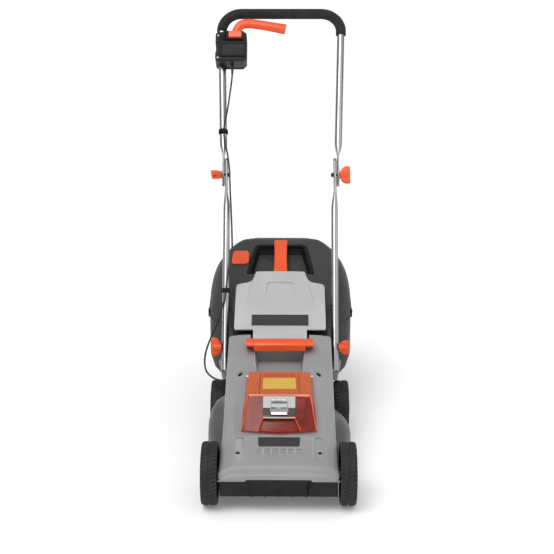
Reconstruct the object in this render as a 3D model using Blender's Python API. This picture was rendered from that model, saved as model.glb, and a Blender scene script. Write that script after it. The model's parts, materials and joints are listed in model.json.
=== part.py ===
"""Cordless rotary lawn mower with a folding handle and a hard grass catcher.

Metres, +Z up. The mower stands on z = 0 and faces -Y, with its handle towards +Y.
The origin is on the ground under the middle of the machine.
"""

from math import atan2, cos, pi, radians, sin, tan

import bmesh
import bpy
from mathutils import Vector

# ---------------------------------------------------------------- driving dimensions
GAP = 0.0003                # space kept between pieces that touch
WALL = 0.003                # plastic wall thickness

FRONT_AXLE_Y = -0.460
WHEELBASE = 0.370
REAR_AXLE_Y = FRONT_AXLE_Y + WHEELBASE
WHEEL_R = 0.076
WHEEL_IN = 0.146            # x of the wheel's inner face
WHEEL_OUT = 0.185           # x of the wheel's outer face
WHEEL_SIDES = 24
AXLE_R = 0.005

BLADE_Y = -0.275            # blade axis
BLADE_LENGTH = 0.330
BLADE_Z = 0.0535
MOTOR_TOP = 0.1700
DECK_R = 0.1795             # round wall of the deck, outside
CHAMBER_R = 0.1715
DECK_HALF = 0.140
DECK_BOTTOM = 0.045
DECK_SHOULDER = 0.097
DECK_TOP = 0.135

HOOD_HALF = 0.1355
HOOD_FRONT = -0.520

COVER_PIN = (-0.268, 0.246)     # y, z
FLAP_PIN = (-0.130, 0.279)
FLAP_SLOPE = radians(23.6)

MOUNT = Vector((0.0, -0.060, 0.242))
LEAN = radians(35.0)            # handle's lean from the vertical
JOINT_UP = 0.501                # from the mount to the middle joint, along the handle
LOWER_R = 0.0095
LOWER_TUBE_END = -0.065          # along the tube, below its mount
UPPER_R = 0.011
GRIP_R = 0.015
GRIP_UP = 0.5105                # from the middle joint to the grip's centre line
BEND_R = 0.058
BOLT_R = 0.003
CABLE_R = 0.0025

CATCHER_FRONT = -0.012


# ---------------------------------------------------------------- helpers
def clear_scene():
    for item in list(bpy.data.objects):
        bpy.data.objects.remove(item, do_unlink=True)


def material(name, colour, roughness, metallic=0.0):
    made = bpy.data.materials.new(name)
    made.use_nodes = True
    shader = made.node_tree.nodes["Principled BSDF"]
    shader.inputs["Base Color"].default_value = (*colour, 1.0)
    shader.inputs["Roughness"].default_value = roughness
    shader.inputs["Metallic"].default_value = metallic
    return made


def empty(name, location, rotation=(0.0, 0.0, 0.0), parent=None):
    frame = bpy.data.objects.new(name, None)
    frame.empty_display_size = 0.03
    frame.location = location
    frame.rotation_euler = rotation
    frame.parent = parent
    bpy.context.scene.collection.objects.link(frame)
    return frame


def solid(name, points, faces, finish, parent=None, origin=(0.0, 0.0, 0.0), smooth=False):
    """One closed mesh. Its points are in the parent's frame; its origin is moved to `origin`."""
    centre = Vector(origin)
    mesh = bpy.data.meshes.new(name)
    mesh.from_pydata([Vector(p) - centre for p in points], [], faces)
    work = bmesh.new()
    work.from_mesh(mesh)
    bmesh.ops.recalc_face_normals(work, faces=work.faces)
    work.to_mesh(mesh)
    work.free()
    if smooth:
        mesh.shade_smooth()
        mesh.set_sharp_from_angle(angle=radians(35))
    if finish:
        mesh.materials.append(finish)
    made = bpy.data.objects.new(name, mesh)
    made.location = centre
    made.parent = parent
    bpy.context.scene.collection.objects.link(made)
    return made


def loft(name, rings, finish=None, ring_like=False, **place):
    """Skin a row of equal loops. With `ring_like` the last loop joins the first."""
    count = len(rings[0])
    points = [p for ring in rings for p in ring]
    last = len(rings) if ring_like else len(rings) - 1
    faces = []
    for i in range(last):
        a = i * count
        b = ((i + 1) % len(rings)) * count
        for j in range(count):
            k = (j + 1) % count
            faces.append((a + j, a + k, b + k, b + j))
    if not ring_like:
        faces.append(tuple(range(count)))
        faces.append(tuple(range(len(points) - count, len(points))))
    return solid(name, points, faces, finish, **place)


def extruded(name, outline, low, high, axis, finish=None, **place):
    """Extrude an outline along X (outline in y, z), Y (outline in x, z) or Z (outline in x, y)."""
    def at(a, b, t):
        return {"X": (t, a, b), "Y": (a, t, b), "Z": (a, b, t)}[axis]
    rings = [[at(a, b, t) for a, b in outline] for t in (low, high)]
    return loft(name, rings, finish, **place)


def box(name, x, y, z, finish=None, **place):
    corners = [(x[0], y[0]), (x[1], y[0]), (x[1], y[1]), (x[0], y[1])]
    return extruded(name, corners, z[0], z[1], "Z", finish, **place)


def circle(radius, sides, centre=(0.0, 0.0), turn=0.5):
    step = 2 * pi / sides
    return [(centre[0] + radius * cos((i + turn) * step), centre[1] + radius * sin((i + turn) * step))
            for i in range(sides)]


def disc(name, radius, low, high, axis, centre=(0.0, 0.0), sides=16, finish=None, **place):
    place.setdefault("smooth", True)
    return extruded(name, circle(radius, sides, centre), low, high, axis, finish, **place)


def modify(target, other, operation):
    step = target.modifiers.new(operation.lower(), "BOOLEAN")
    step.operation = operation
    step.object = other
    step.solver = "EXACT"
    other.hide_render = True
    other.display_type = "WIRE"


def cut(target, *others):
    for other in others:
        modify(target, other, "DIFFERENCE")


def join(target, *others):
    for other in others:
        modify(target, other, "UNION")


def mirrored(points):
    """Add the other half of an outline given on its +X side, from the bottom to the top."""
    return points + [(-a, b) for a, b in reversed(points)]


def between(p, q, t):
    return p + (q - p) * t


# ---------------------------------------------------------------- materials
def make_materials():
    return {
        "grey": material("hood_grey", (0.33, 0.33, 0.34), 0.45),
        "light_grey": material("flap_grey", (0.42, 0.42, 0.43), 0.45),
        "black": material("deck_black", (0.022, 0.023, 0.025), 0.5),
        "dark": material("catcher_dark", (0.055, 0.058, 0.060), 0.55),
        "orange": material("orange_plastic", (0.90, 0.13, 0.015), 0.35),
        "clear": material("orange_clear", (0.75, 0.06, 0.01), 0.1),
        "rubber": material("wheel_black", (0.03, 0.03, 0.032), 0.6),
        "silver": material("tube_silver", (0.72, 0.72, 0.74), 0.3, 0.9),
        "foam": material("foam_black", (0.015, 0.015, 0.015), 0.9),
        "steel": material("zinc_steel", (0.55, 0.55, 0.56), 0.35, 1.0),
        "board": material("board_green", (0.02, 0.16, 0.06), 0.5),
        "cable": material("cable_black", (0.02, 0.02, 0.02), 0.5),
    }


# ---------------------------------------------------------------- wheels and axles
def make_wheels(m):
    for end, y in (("front", FRONT_AXLE_Y), ("rear", REAR_AXLE_Y)):
        disc(f"{end}_axle", AXLE_R, -0.1838, 0.1838, "X", (y, WHEEL_R), 12, m["steel"])
        for side, s in (("left", -1), ("right", 1)):
            hub = (s * WHEEL_IN, y, WHEEL_R)
            make_wheel(f"wheel_{end}_{side}", s, y, hub, m["rubber"])
            disc(f"hubcap_{end}_{side}", 0.024, s * (WHEEL_OUT + GAP), s * (WHEEL_OUT + 0.0035), "X",
                 (y, WHEEL_R), 16, m["rubber"], origin=hub)


def make_wheel(name, s, y, hub, finish):
    """Rim, web and hub turned about the axle. The outer polygon rests on one of its flats."""
    rim = WHEEL_R / cos(pi / WHEEL_SIDES)
    profile = [(AXLE_R + GAP, WHEEL_IN), (0.016, WHEEL_IN), (0.018, 0.156), (0.060, 0.156),
               (0.062, WHEEL_IN + 0.001), (rim - 0.003, WHEEL_IN), (rim, WHEEL_IN + 0.003),
               (rim, WHEEL_OUT - 0.003), (rim - 0.003, WHEEL_OUT), (0.060, WHEEL_OUT - 0.002),
               (0.058, 0.174), (0.028, 0.174), (0.026, WHEEL_OUT), (AXLE_R + GAP, WHEEL_OUT)]
    rings = []
    for radius, x in profile:
        rings.append([(s * x, a, b) for a, b in circle(radius, WHEEL_SIDES, (y, WHEEL_R))])
    loft(name, rings, finish, ring_like=True, origin=hub, smooth=True)


# ---------------------------------------------------------------- deck
def deck_outline():
    """Seen from above: a straight front and rear, with the round chamber wall between the wheels."""
    reach = (DECK_R ** 2 - DECK_HALF ** 2) ** 0.5
    half_angle = atan2(reach, DECK_HALF)
    steps = 10
    arc = []
    for i in range(steps + 1):
        a = -half_angle + 2 * half_angle * i / steps
        arc.append((DECK_R * cos(a), BLADE_Y + DECK_R * sin(a)))
    right = [(DECK_HALF, HOOD_FRONT + 0.003), *arc, (0.128, -0.155), (0.128, -0.022)]
    return right + [(-x, y) for x, y in reversed(right)]


def make_deck(m):
    deck = extruded("deck_housing", deck_outline(), DECK_BOTTOM, DECK_SHOULDER, "Z", m["black"])
    low = [(x, y, DECK_SHOULDER - 0.004) for x, y in circle(DECK_R - 0.0008, 32, (0.0, BLADE_Y))]
    high = [(x, y, DECK_TOP) for x, y in circle(DECK_HALF - 0.0015, 32, (0.0, BLADE_Y))]
    dome = loft("deck_dome", [low, high])
    plateau = box("deck_plateau", (-0.1385, 0.1385), (-0.415, -0.1095), (0.080, DECK_TOP - 0.0002))
    tower_side = [(-0.205, 0.080), (-0.205, 0.140), (-0.1083, 0.232), (-0.1083, 0.262),
                  (-0.030, 0.300), (-0.0235, 0.080)]
    tower = extruded("deck_tower", tower_side, -0.1005, 0.1005, "X")
    cheeks_side = [(-0.1083, 0.080), (-0.1083, 0.268), (-0.0305, 0.302), (-0.024, 0.080)]
    cheeks = extruded("deck_cheeks", cheeks_side, -0.1275, 0.1275, "X")
    join(deck, dome, plateau, tower, cheeks)

    chamber_low = [(x, y, 0.030) for x, y in circle(CHAMBER_R, 32, (0.0, BLADE_Y))]
    chamber_mid = [(x, y, 0.092) for x, y in circle(CHAMBER_R, 32, (0.0, BLADE_Y))]
    chamber_top = [(x, y, 0.1255) for x, y in circle(0.132, 32, (0.0, BLADE_Y))]
    chamber = loft("deck_chamber_cutter", [chamber_low, chamber_mid, chamber_top])
    tunnel_side = [(-0.200, 0.060), (-0.200, 0.120), (-0.110, 0.212), (-0.085, 0.245),
                   (-0.010, 0.283), (-0.010, 0.104), (-0.120, 0.090)]
    tunnel = extruded("deck_tunnel_cutter", tunnel_side, -0.094, 0.094, "X")
    spindle = disc("deck_spindle_cutter", 0.012, 0.110, 0.150, "Z", (0.0, BLADE_Y))
    cut(deck, chamber, tunnel, spindle)
    for end, y in (("front", FRONT_AXLE_Y), ("rear", REAR_AXLE_Y)):
        cut(deck, disc(f"{end}_axle_cutter", AXLE_R + GAP, -0.2, 0.2, "X", (y, WHEEL_R), 12))
    make_skirt(m)


def make_skirt(m):
    """Front skirt: a thin plate in front of the deck with five short ribs along its lower edge."""
    face = HOOD_FRONT + 0.0025
    skirt = box("front_skirt", (-0.1395, 0.1395), (face - 0.0035, face), (0.050, 0.0945), m["black"])
    for i in range(5):
        x = (i - 2) * 0.033
        rib = box(f"skirt_rib_{i}", (x - 0.0012, x + 0.0012), (face - 0.0065, face - 0.001), (0.045, 0.088))
        join(skirt, rib)


# ---------------------------------------------------------------- motor and blade
def make_drive(m):
    axis = (0.0, BLADE_Y)
    place = (0.0, BLADE_Y, BLADE_Z)
    motor = disc("motor_body", 0.035, DECK_TOP + 2 * GAP, MOTOR_TOP, "Z", axis, 24, m["steel"])
    cut(motor, disc("motor_bore_cutter", 0.0045, 0.10, 0.160, "Z", axis, 12))
    disc("motor_shaft", 0.004, BLADE_Z + 0.0040, 0.158, "Z", axis, 12, m["steel"], origin=place)
    hub = [(0.0043, 0.0580), (0.024, 0.0580), (0.024, 0.0640), (0.013, 0.0680), (0.012, 0.0820),
           (0.0043, 0.0820)]
    rings = [[(x, y, z) for x, y in circle(r, 16, axis)] for r, z in hub]
    loft("blade_hub", rings, m["black"], ring_like=True, origin=place, smooth=True)
    half = BLADE_LENGTH / 2
    outline = [(-half, -0.010), (-half + 0.010, -0.0225), (half, -0.0225), (half, 0.010),
               (half - 0.010, 0.0225), (-half, 0.0225)]
    shape = [(x, BLADE_Y + y) for x, y in outline]
    blade = extruded("blade", shape, BLADE_Z, BLADE_Z + 0.0035, "Z", m["steel"], origin=place)
    cut(blade, disc("blade_bore_cutter", 0.004, BLADE_Z - 0.01, BLADE_Z + 0.01, "Z", axis, 12))
    bolt = [(0.0, BLADE_Z + 0.0037), (0.0037, BLADE_Z + 0.0037), (0.0037, BLADE_Z - GAP),
            (0.0095, BLADE_Z - GAP), (0.0095, BLADE_Z - 0.006), (0.0, BLADE_Z - 0.006)]
    turned("blade_bolt", bolt, axis, 12, m["steel"], place)


def turned(name, profile, axis, sides, finish, origin, parent=None):
    """Turn a profile of (radius, z) whose two ends lie on the axis."""
    points = [(axis[0], axis[1], profile[0][1])]
    for radius, z in profile[1:-1]:
        points += [(x, y, z) for x, y in circle(radius, sides, axis)]
    points.append((axis[0], axis[1], profile[-1][1]))
    faces = []
    rows = len(profile) - 2
    for j in range(sides):
        k = (j + 1) % sides
        faces.append((0, 1 + j, 1 + k))
        for i in range(rows - 1):
            a = 1 + i * sides
            faces.append((a + j, a + sides + j, a + sides + k, a + k))
        end = 1 + (rows - 1) * sides
        faces.append((len(points) - 1, end + k, end + j))
    return solid(name, points, faces, finish, origin=origin, parent=parent, smooth=True)


# ---------------------------------------------------------------- hood
HOOD_LINE = [(-0.520, 0.1005), (-0.490, 0.113), (-0.424, 0.145), (-0.416, 0.150), (-0.350, 0.190),
             (-0.260, 0.236), (-0.110, 0.289)]      # y and height of the hood's top line


def hood_height(y):
    for (y0, z0), (y1, z1) in zip(HOOD_LINE, HOOD_LINE[1:]):
        if y <= y1:
            return z0 + (z1 - z0) * (y - y0) / (y1 - y0)
    return HOOD_LINE[-1][1]


def hood_rings(inset, drop):
    """Cross-sections of the hood from front to rear, `inset` inside its outer face."""
    rings = []
    for i, (y, top) in enumerate(HOOD_LINE):
        last = len(HOOD_LINE) - 1
        shift = inset if i == 0 else (-inset if i == last else 0.0)
        half = (0.1395 if y < -0.42 else HOOD_HALF) - inset
        low = (DECK_SHOULDER + GAP if y < -0.42 else DECK_TOP + GAP) - drop
        rise = top - inset
        chamfer = min(0.018, max(0.0015, (rise - low - drop) * 0.5))
        side = [(half, low), (half, rise - chamfer), (half - chamfer * 1.2, rise)]
        rings.append([(x, y + shift, z) for x, z in mirrored(side)])
    return rings


def make_hood(m):
    hood = loft("hood", hood_rings(0.0, 0.0), m["grey"])
    inner = loft("hood_inner_cutter", hood_rings(WALL, 0.02))
    cut(hood, inner)
    rear_door = box("hood_rear_cutter", (-0.104, 0.104), (-0.125, -0.100), (0.10, 0.255))
    well_wall = box("hood_well_wall", (-0.071, 0.071), (-0.2575, -0.1445), (0.2265, 0.2345))
    well_back = box("hood_well_back", (-0.071, 0.071), (-0.1475, -0.1425), (0.2265, 0.274))
    well_left = box("hood_well_left", (-0.0715, -0.0675), (-0.2575, -0.1425), (0.2265, 0.262))
    well_right = box("hood_well_right", (0.0675, 0.0715), (-0.2575, -0.1425), (0.2265, 0.262))
    join(hood, well_wall, well_back)
    for side in (well_left, well_right):
        cut(side, box(side.name + "_trim", (-0.1, 0.1), (-0.30, -0.235), (0.2345, 0.30)))
        join(hood, side)
    well = box("hood_well_cutter", (-0.068, 0.068), (-0.2545, -0.1475), (0.2300, 0.320))
    opening = box("hood_battery_cutter", (-0.0705, 0.0705), (-0.3895, -0.2620), (0.120, 0.320))
    notch = box("hood_notch_cutter", (-0.0775, 0.0775), (-0.1395, -0.100), (0.2640, 0.320))
    cut(hood, well, opening, notch, rear_door)
    for side, s in (("left", -1), ("right", 1)):
        across = sorted((s * 0.0785, s * 0.0885))
        lug = box(f"hood_lug_{side}", across, (-0.1385, -0.1145), (0.2660, 0.2860))
        join(hood, lug)
    cut(hood, disc("hood_rod_cutter", 0.0033, -0.0865 - GAP, 0.0865 + GAP, "X", FLAP_PIN, 12))
    make_badge(m)
    make_carry_handle(m)


def make_badge(m):
    """Plain raised plate under the battery cover."""
    front, rear = -0.4455, -0.4195
    lift = 2 * GAP
    outline = [(front, hood_height(front) + lift), (rear, hood_height(rear) + lift),
               (rear, hood_height(rear) + lift + 0.0025), (front, hood_height(front) + lift + 0.0025)]
    extruded("front_badge", outline, -0.051, 0.051, "X", m["black"])


def make_carry_handle(m):
    front, rear = -0.178, -0.142
    lift = 2 * GAP

    def ring(x, drop):
        middle = rear - 0.0060
        return [(x, front, hood_height(front) + lift - drop), (x, front - 0.002, 0.292),
                (x, front + 0.008, 0.303), (x, rear - 0.006, 0.304), (x, rear + 0.001, 0.296),
                (x, rear, hood_height(rear) + lift), (x, middle, hood_height(middle) + lift),
                (x, middle - 0.0015, hood_height(middle - 0.0015) + lift - drop)]
    rings = [ring(-0.088, 0.0), ring(-0.0676, 0.0), ring(-0.0656, -0.003), ring(0.0656, -0.003),
             ring(0.0676, 0.0), ring(0.088, 0.0)]
    loft("carry_handle", rings, m["orange"])


# ---------------------------------------------------------------- battery bay
DOCK_FRONT, DOCK_REAR = -0.3885, -0.2635
DOCK_FLOOR = ((DOCK_FRONT, 0.1438), (DOCK_REAR, 0.1880))    # y and height of the tray's underside


def dock_floor(y):
    (y0, z0), (y1, z1) = DOCK_FLOOR
    return z0 + (z1 - z0) * (y - y0) / (y1 - y0)


def make_battery_bay(m):
    front, rear = DOCK_FRONT, DOCK_REAR
    py, pz = COVER_PIN
    side = [(front, dock_floor(front)), (front, 0.1600), (-0.340, 0.1900), (-0.305, 0.2280),
            (py - 0.004, pz + 0.004), (py + 0.003, pz + 0.004), (py + 0.003, pz - 0.003),
            (py - 0.0045, pz - 0.004), (-0.292, 0.2260), (rear, 0.2260), (rear, dock_floor(rear))]
    dock = extruded("battery_dock", side, -0.0695, 0.0695, "X", m["black"])
    room = [(front + WALL, dock_floor(front + WALL) + WALL), (front + WALL, 0.30), (rear - WALL, 0.30),
            (rear - WALL, dock_floor(rear - WALL) + WALL)]
    cut(dock, extruded("dock_room_cutter", room, -0.0665, 0.0665, "X"))
    rear_trim = box("dock_rear_trim", (-0.0665, 0.0665), (-0.2685, -0.255), (0.2260, 0.30))
    slot = box("dock_key_cutter", (0.0504, 0.0606), (-0.3376, -0.3224), (0.10, 0.25))
    pin_bore = disc("dock_pin_cutter", 0.0023, -0.1, 0.1, "X", COVER_PIN, 8)
    cut(dock, rear_trim, slot, pin_bore)
    disc("cover_hinge_pin", 0.002, -0.0838, 0.0838, "X", COVER_PIN, 8, m["steel"])
    make_battery(m)
    key_head = box("safety_key_head", (0.0480, 0.0630), (-0.3400, -0.3200), (0.1900, 0.2050))
    key = box("safety_key", (0.0510, 0.0600), (-0.3370, -0.3230), (0.1560, 0.1950), m["orange"],
              origin=(0.0555, -0.330, 0.17))
    join(key, key_head)


def make_battery(m):
    lift = WALL + 0.0008
    front, rear = -0.379, -0.272
    side = [(front, dock_floor(front) + lift), (front, 0.1720), (-0.345, 0.2120), (-0.300, 0.2260),
            (rear, 0.2230), (rear, dock_floor(rear) + lift)]
    pack = extruded("battery_pack", side, -0.0405, 0.0405, "X", m["black"])
    slope = Vector((0.0, -0.345 - front, 0.2120 - 0.1720)).normalized()
    out = Vector((0.0, -slope.z, slope.y))
    base = Vector((0.0, front, 0.1720))

    def block(name, half, low, high, deep, proud, finish=None):
        corners = [base + slope * a + out * b
                   for a, b in ((low, -deep), (high, -deep), (high, proud), (low, proud))]
        return extruded(name, [(c.y, c.z) for c in corners], -half, half, "X", finish,
                        origin=base + slope * (low + high) / 2)
    block("battery_release_button", 0.0215, 0.026, 0.052, 0.004, 0.0025, m["light_grey"])
    cut(pack, block("release_pocket_cutter", 0.0220, 0.0255, 0.0525, 0.0078, 0.02))


def make_battery_cover(m):
    """Clear cover: a hollow wedge hinged at its rear, open below."""
    def rings(inset, drop):
        rows = [(-0.4000, 0.1660, 0.0915, 0.0905), (-0.3500, 0.2300, 0.0890, 0.0765),
                (-0.2600, 0.2570, 0.0840, 0.0790)]
        made = []
        for i, (y, top, base_half, top_half) in enumerate(rows):
            shift = inset if i == 0 else (-inset if i == 2 else 0.0)
            low = hood_height(y) + 0.0010 - drop
            rise = top - inset * 1.15
            side = [(base_half - inset, low), (top_half - inset, rise - 0.001),
                    (top_half - inset - 0.002, rise)]
            made.append([(x, y + shift, z) for x, z in mirrored(side)])
        return made
    origin = (0.0, *COVER_PIN)
    cover = loft("battery_cover", rings(0.0, 0.0), m["clear"], origin=origin)
    inside = loft("cover_inner_cutter", rings(0.0025, 0.02))
    cut(cover, inside, disc("cover_pin_cutter", 0.0023, -0.1, 0.1, "X", COVER_PIN, 8))


def make_controller(m):
    base = DECK_TOP + 2 * GAP
    board = box("controller_board", (0.084, 0.122), (-0.395, -0.300), (base, base + 0.0019), m["board"])
    for i in range(3):
        y = -0.385 + 0.028 * i
        join(board, box(f"board_part_{i}", (0.090, 0.112), (y, y + 0.018), (0.1365, 0.1475)))


# ---------------------------------------------------------------- rear flap
def make_flap(m):
    """Flap-local frame: x across, y down the slope from the rod, z out of the flap's face."""
    frame = empty("flap_frame", (0.0, *FLAP_PIN), (FLAP_SLOPE, 0.0, 0.0))
    length = 0.286
    outline = [(0.0540, 0.000), (0.0740, 0.0085), (0.0740, 0.0450), (0.1262, 0.0450), (0.1262, 0.2350),
               (0.1200, 0.2600), (0.0800, 0.2700), (0.0715, length)]
    shape = outline + [(-x, y) for x, y in reversed(outline)]
    flap = extruded("rear_flap", shape, 0.0015, 0.0060, "Z", m["light_grey"], parent=frame)
    raised = [(0.0980, 0.118), (0.0715, length - 0.002), (-0.0715, length - 0.002), (-0.0980, 0.118)]
    top = extruded("flap_raised", raised, 0.004, 0.0095, "Z", parent=frame)
    barrel = disc("flap_barrel", 0.0060, -0.0540, 0.0540, "X", (0.0, 0.0), 16, parent=frame)
    join(flap, top, barrel)
    cut(flap, disc("flap_bore_cutter", 0.0033, -0.2, 0.2, "X", (0.0, 0.0), 12, parent=frame))
    clearance = box("flap_spring_cutter", (0.0545, 0.0790), (-0.02, 0.0080), (-0.01, 0.02), parent=frame)
    cut(flap, clearance)
    disc("flap_rod", 0.0030, -0.0865, 0.0865, "X", FLAP_PIN, 12, m["steel"])
    make_flap_spring(m)


def make_flap_spring(m):
    """Torsion spring: a close helix around the rod."""
    turns, per_turn, radius, wire = 5, 10, 0.0046, 0.0008
    points = []
    for i in range(turns * per_turn + 1):
        a = 2 * pi * i / per_turn
        x = 0.0570 + 0.0150 * i / (turns * per_turn)
        points.append((x, FLAP_PIN[0] + radius * cos(a), FLAP_PIN[1] + radius * sin(a)))
    tube_curve("flap_spring", points, wire, m["steel"], 1)


def tube_curve(name, points, radius, finish, resolution=2, parent=None):
    curve = bpy.data.curves.new(name, "CURVE")
    curve.dimensions = "3D"
    curve.bevel_depth = radius
    curve.bevel_resolution = resolution
    curve.use_fill_caps = True
    spline = curve.splines.new("POLY")
    spline.points.add(len(points) - 1)
    for place, point in zip(spline.points, points):
        place.co = (*point, 1.0)
    curve.materials.append(finish)
    made = bpy.data.objects.new(name, curve)
    made.parent = parent
    bpy.context.scene.collection.objects.link(made)
    return made


# ---------------------------------------------------------------- grass catcher
# y, half width, underside, top edge at the sides, top at the middle
CATCHER_ROWS = [(-0.012, 0.104, 0.100, 0.262, 0.290), (0.012, 0.135, 0.096, 0.285, 0.312),
                (0.045, 0.186, 0.094, 0.306, 0.344), (0.110, 0.192, 0.100, 0.338, 0.375),
                (0.200, 0.184, 0.118, 0.376, 0.409), (0.270, 0.168, 0.150, 0.400, 0.429),
                (0.330, 0.135, 0.210, 0.412, 0.437), (0.380, 0.085, 0.300, 0.412, 0.428)]
SPLIT_SLOPE = tan(radians(18.0))
SPLIT_Z = 0.268             # height of the lid's lower edge at y = 0


def catcher_rings(inset):
    rings = []
    last = len(CATCHER_ROWS) - 1
    for i, (y, half, low, shoulder, top) in enumerate(CATCHER_ROWS):
        shift = inset if i == 0 else (-inset if i == last else 0.0)
        w = half - inset
        side = [(w * 0.72, low + inset), (w, low + inset + (shoulder - low) * 0.30),
                (w, shoulder - inset), (w * 0.93, between(shoulder, top, 0.60) - inset),
                (w * 0.80, top - inset)]
        rings.append([(x, y + shift, z) for x, z in mirrored(side)])
    return rings


def half_space(name, above, offset):
    """A big block above or below the sloping plane where the lid meets the body."""
    y0, y1 = -0.2, 0.6
    z0 = SPLIT_Z + SPLIT_SLOPE * y0 + offset
    z1 = SPLIT_Z + SPLIT_SLOPE * y1 + offset
    far = 1.0 if above else -0.5
    return extruded(name, [(y0, z0), (y1, z1), (y1, far), (y0, far)], -0.4, 0.4, "X")


def lid_surface(y):
    for a, b in zip(CATCHER_ROWS, CATCHER_ROWS[1:]):
        if y <= b[0]:
            return a[4] + (b[4] - a[4]) * (y - a[0]) / (b[0] - a[0])
    return CATCHER_ROWS[-1][4]


def make_catcher(m):
    origin = (0.0, CATCHER_FRONT, 0.18)
    body = loft("catcher_body", catcher_rings(0.0), m["dark"], origin=origin)
    lid = loft("catcher_lid", catcher_rings(0.0), m["dark"], origin=origin)
    hollow = loft("catcher_inner_cutter", catcher_rings(WALL))
    mouth = box("catcher_mouth_cutter", (-0.088, 0.088), (-0.05, 0.03), (0.112, 0.240))
    cut(body, half_space("catcher_above", True, -GAP), hollow, mouth)
    cut(lid, half_space("catcher_below", False, GAP), hollow)

    low, high = 0.140, 0.285
    floor = [(low, lid_surface(low) - 0.026), (high, lid_surface(high) - 0.026)]
    deep = [(low, 0.60), *floor, (high, 0.60)]
    wall = [(low - WALL, lid_surface(low) - 0.002), (low - WALL, floor[0][1] - WALL),
            (high + WALL, floor[1][1] - WALL), (high + WALL, lid_surface(high) - 0.002)]
    join(lid, extruded("lid_recess_wall", wall, -0.077, 0.077, "X"))
    cut(lid, extruded("lid_recess_cutter", deep, -0.074, 0.074, "X"))
    make_catcher_handle(m, origin, low, high)
    make_indicator(m)


def make_catcher_handle(m, origin, low, high):
    """Strip over the recess, resting on the lid in front of it and behind it."""
    lift = 0.0012
    start, end, thick, dip = low - 0.010, high + 0.012, 0.005, 0.008
    shape = [(start, lift + thick), (end, lift + thick), (end, lift),
             (high - 0.004, lift), (high - 0.012, -dip),
             (low + 0.012, -dip), (low + 0.004, lift), (start, lift)]
    outline = [(y, lid_surface(y) + above) for y, above in shape]
    extruded("catcher_handle", outline, -0.0205, 0.0205, "X", m["orange"], origin=origin)


def make_indicator(m):
    """Light flap over the lid's air outlet, hinged along its front edge."""
    front, rear = 0.167, 0.238
    lift = 0.0012
    along = [front, 0.200, rear]
    outline = [(y, lid_surface(y) + lift) for y in along]
    outline += [(y, lid_surface(y) + lift + 0.003) for y in reversed(along)]
    extruded("level_indicator", outline, -0.136, -0.086, "X", m["orange"],
             origin=(-0.111, front, lid_surface(front) + lift))


# ---------------------------------------------------------------- handle
def tube_ring(x, up, half_x, half_y, wall=0.0, sides=12):
    """Cross-section of a round or flattened tube, at height `up` along the handle."""
    return [(x + (half_x - wall) * a, (half_y - wall) * b, up)
            for a, b in circle(1.0, sides, turn=0.5)]


def hollow_tube(name, stations, wall, finish, parent, origin=(0.0, 0.0, 0.0)):
    outer = [tube_ring(x, up, hx, hy) for x, up, hx, hy in stations]
    inner = [tube_ring(x, up, hx, hy, wall) for x, up, hx, hy in stations]
    return loft(name, outer + inner[::-1], finish, ring_like=True, parent=parent, origin=origin, smooth=True)


def make_lower_handle(m):
    frame = empty("lower_handle_frame", MOUNT, (-LEAN, 0.0, 0.0))
    for side, s in (("left", -1), ("right", 1)):
        stations = [(s * 0.1477, LOWER_TUBE_END, LOWER_R, LOWER_R), (s * 0.1515, 0.400, LOWER_R, LOWER_R),
                    (s * 0.1535, 0.455, 0.0048, 0.0125), (s * 0.1535, 0.551, 0.0048, 0.0125)]
        tube = hollow_tube(f"lower_tube_{side}", stations, 0.0015, m["silver"], frame)
        for end, up in (("mount", 0.0), ("joint", JOINT_UP)):
            cut(tube, disc(f"lower_{end}_cutter_{side}", BOLT_R + GAP, s * 0.12, s * 0.18, "X", (0.0, up), 12,
                           parent=frame))
        make_bolt(f"joint_bolt_{side}", s, 0.1420, 0.1484, 0.1900, 0.0065, (0.0, JOINT_UP), m["black"], frame)
        make_wing_knob(f"wing_knob_{side}", s, 0.1672, 0.1970, 0.0275, (0.0, JOINT_UP), m["orange"], frame,
                       side == "left")
    make_clip("cable_clip_lower", -0.1497, 0.157, LOWER_R, (-0.1488, -0.0124), m["black"], frame)
    return frame


def make_bolt(name, s, head_in, head_out, tip, head_r, centre, finish, parent=None):
    """Bolt along X: a round head towards the middle and a shank to the outside."""
    rings = []
    for radius, x in ((head_r, head_in), (head_r, head_out), (BOLT_R, head_out), (BOLT_R, tip)):
        rings.append([(s * x, a, b) for a, b in circle(radius, 12, centre)])
    return loft(name, rings, finish, parent=parent, origin=(s * head_out, *centre), smooth=True)


def make_wing_knob(name, s, near, far, reach, centre, finish, parent, edge_on):
    """Hub with two wings. `edge_on` turns the wings into the depth of the machine."""
    def along(flat, lean):
        a, b = flat
        return (centre[0] + b, centre[1] + a) if lean else (centre[0] + a, centre[1] + b)
    origin = (s * near, *centre)
    hub = disc(name, 0.0105, s * near, s * (far - 0.009), "X", centre, 12, finish,
               parent=parent, origin=origin)

    def wings(half, length):
        return [(-half, -length), (half, -length), (half, length), (-half, length)]
    middle = near + (far - near) * 0.45
    rings = [[(s * x, *along(p, edge_on)) for p in wings(half, length)]
             for x, half, length in ((near + 0.004, 0.0055, reach * 0.80),
                                     (middle, 0.0045, reach),
                                     (far, 0.0045, reach))]
    join(hub, loft(name + "_wings", rings, parent=parent))
    bore_end = far - 0.0065
    bore = disc(name + "_bore", BOLT_R + GAP, s * (near - 0.01), s * bore_end, "X", centre, 12, parent=parent)
    cut(hub, bore)


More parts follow.
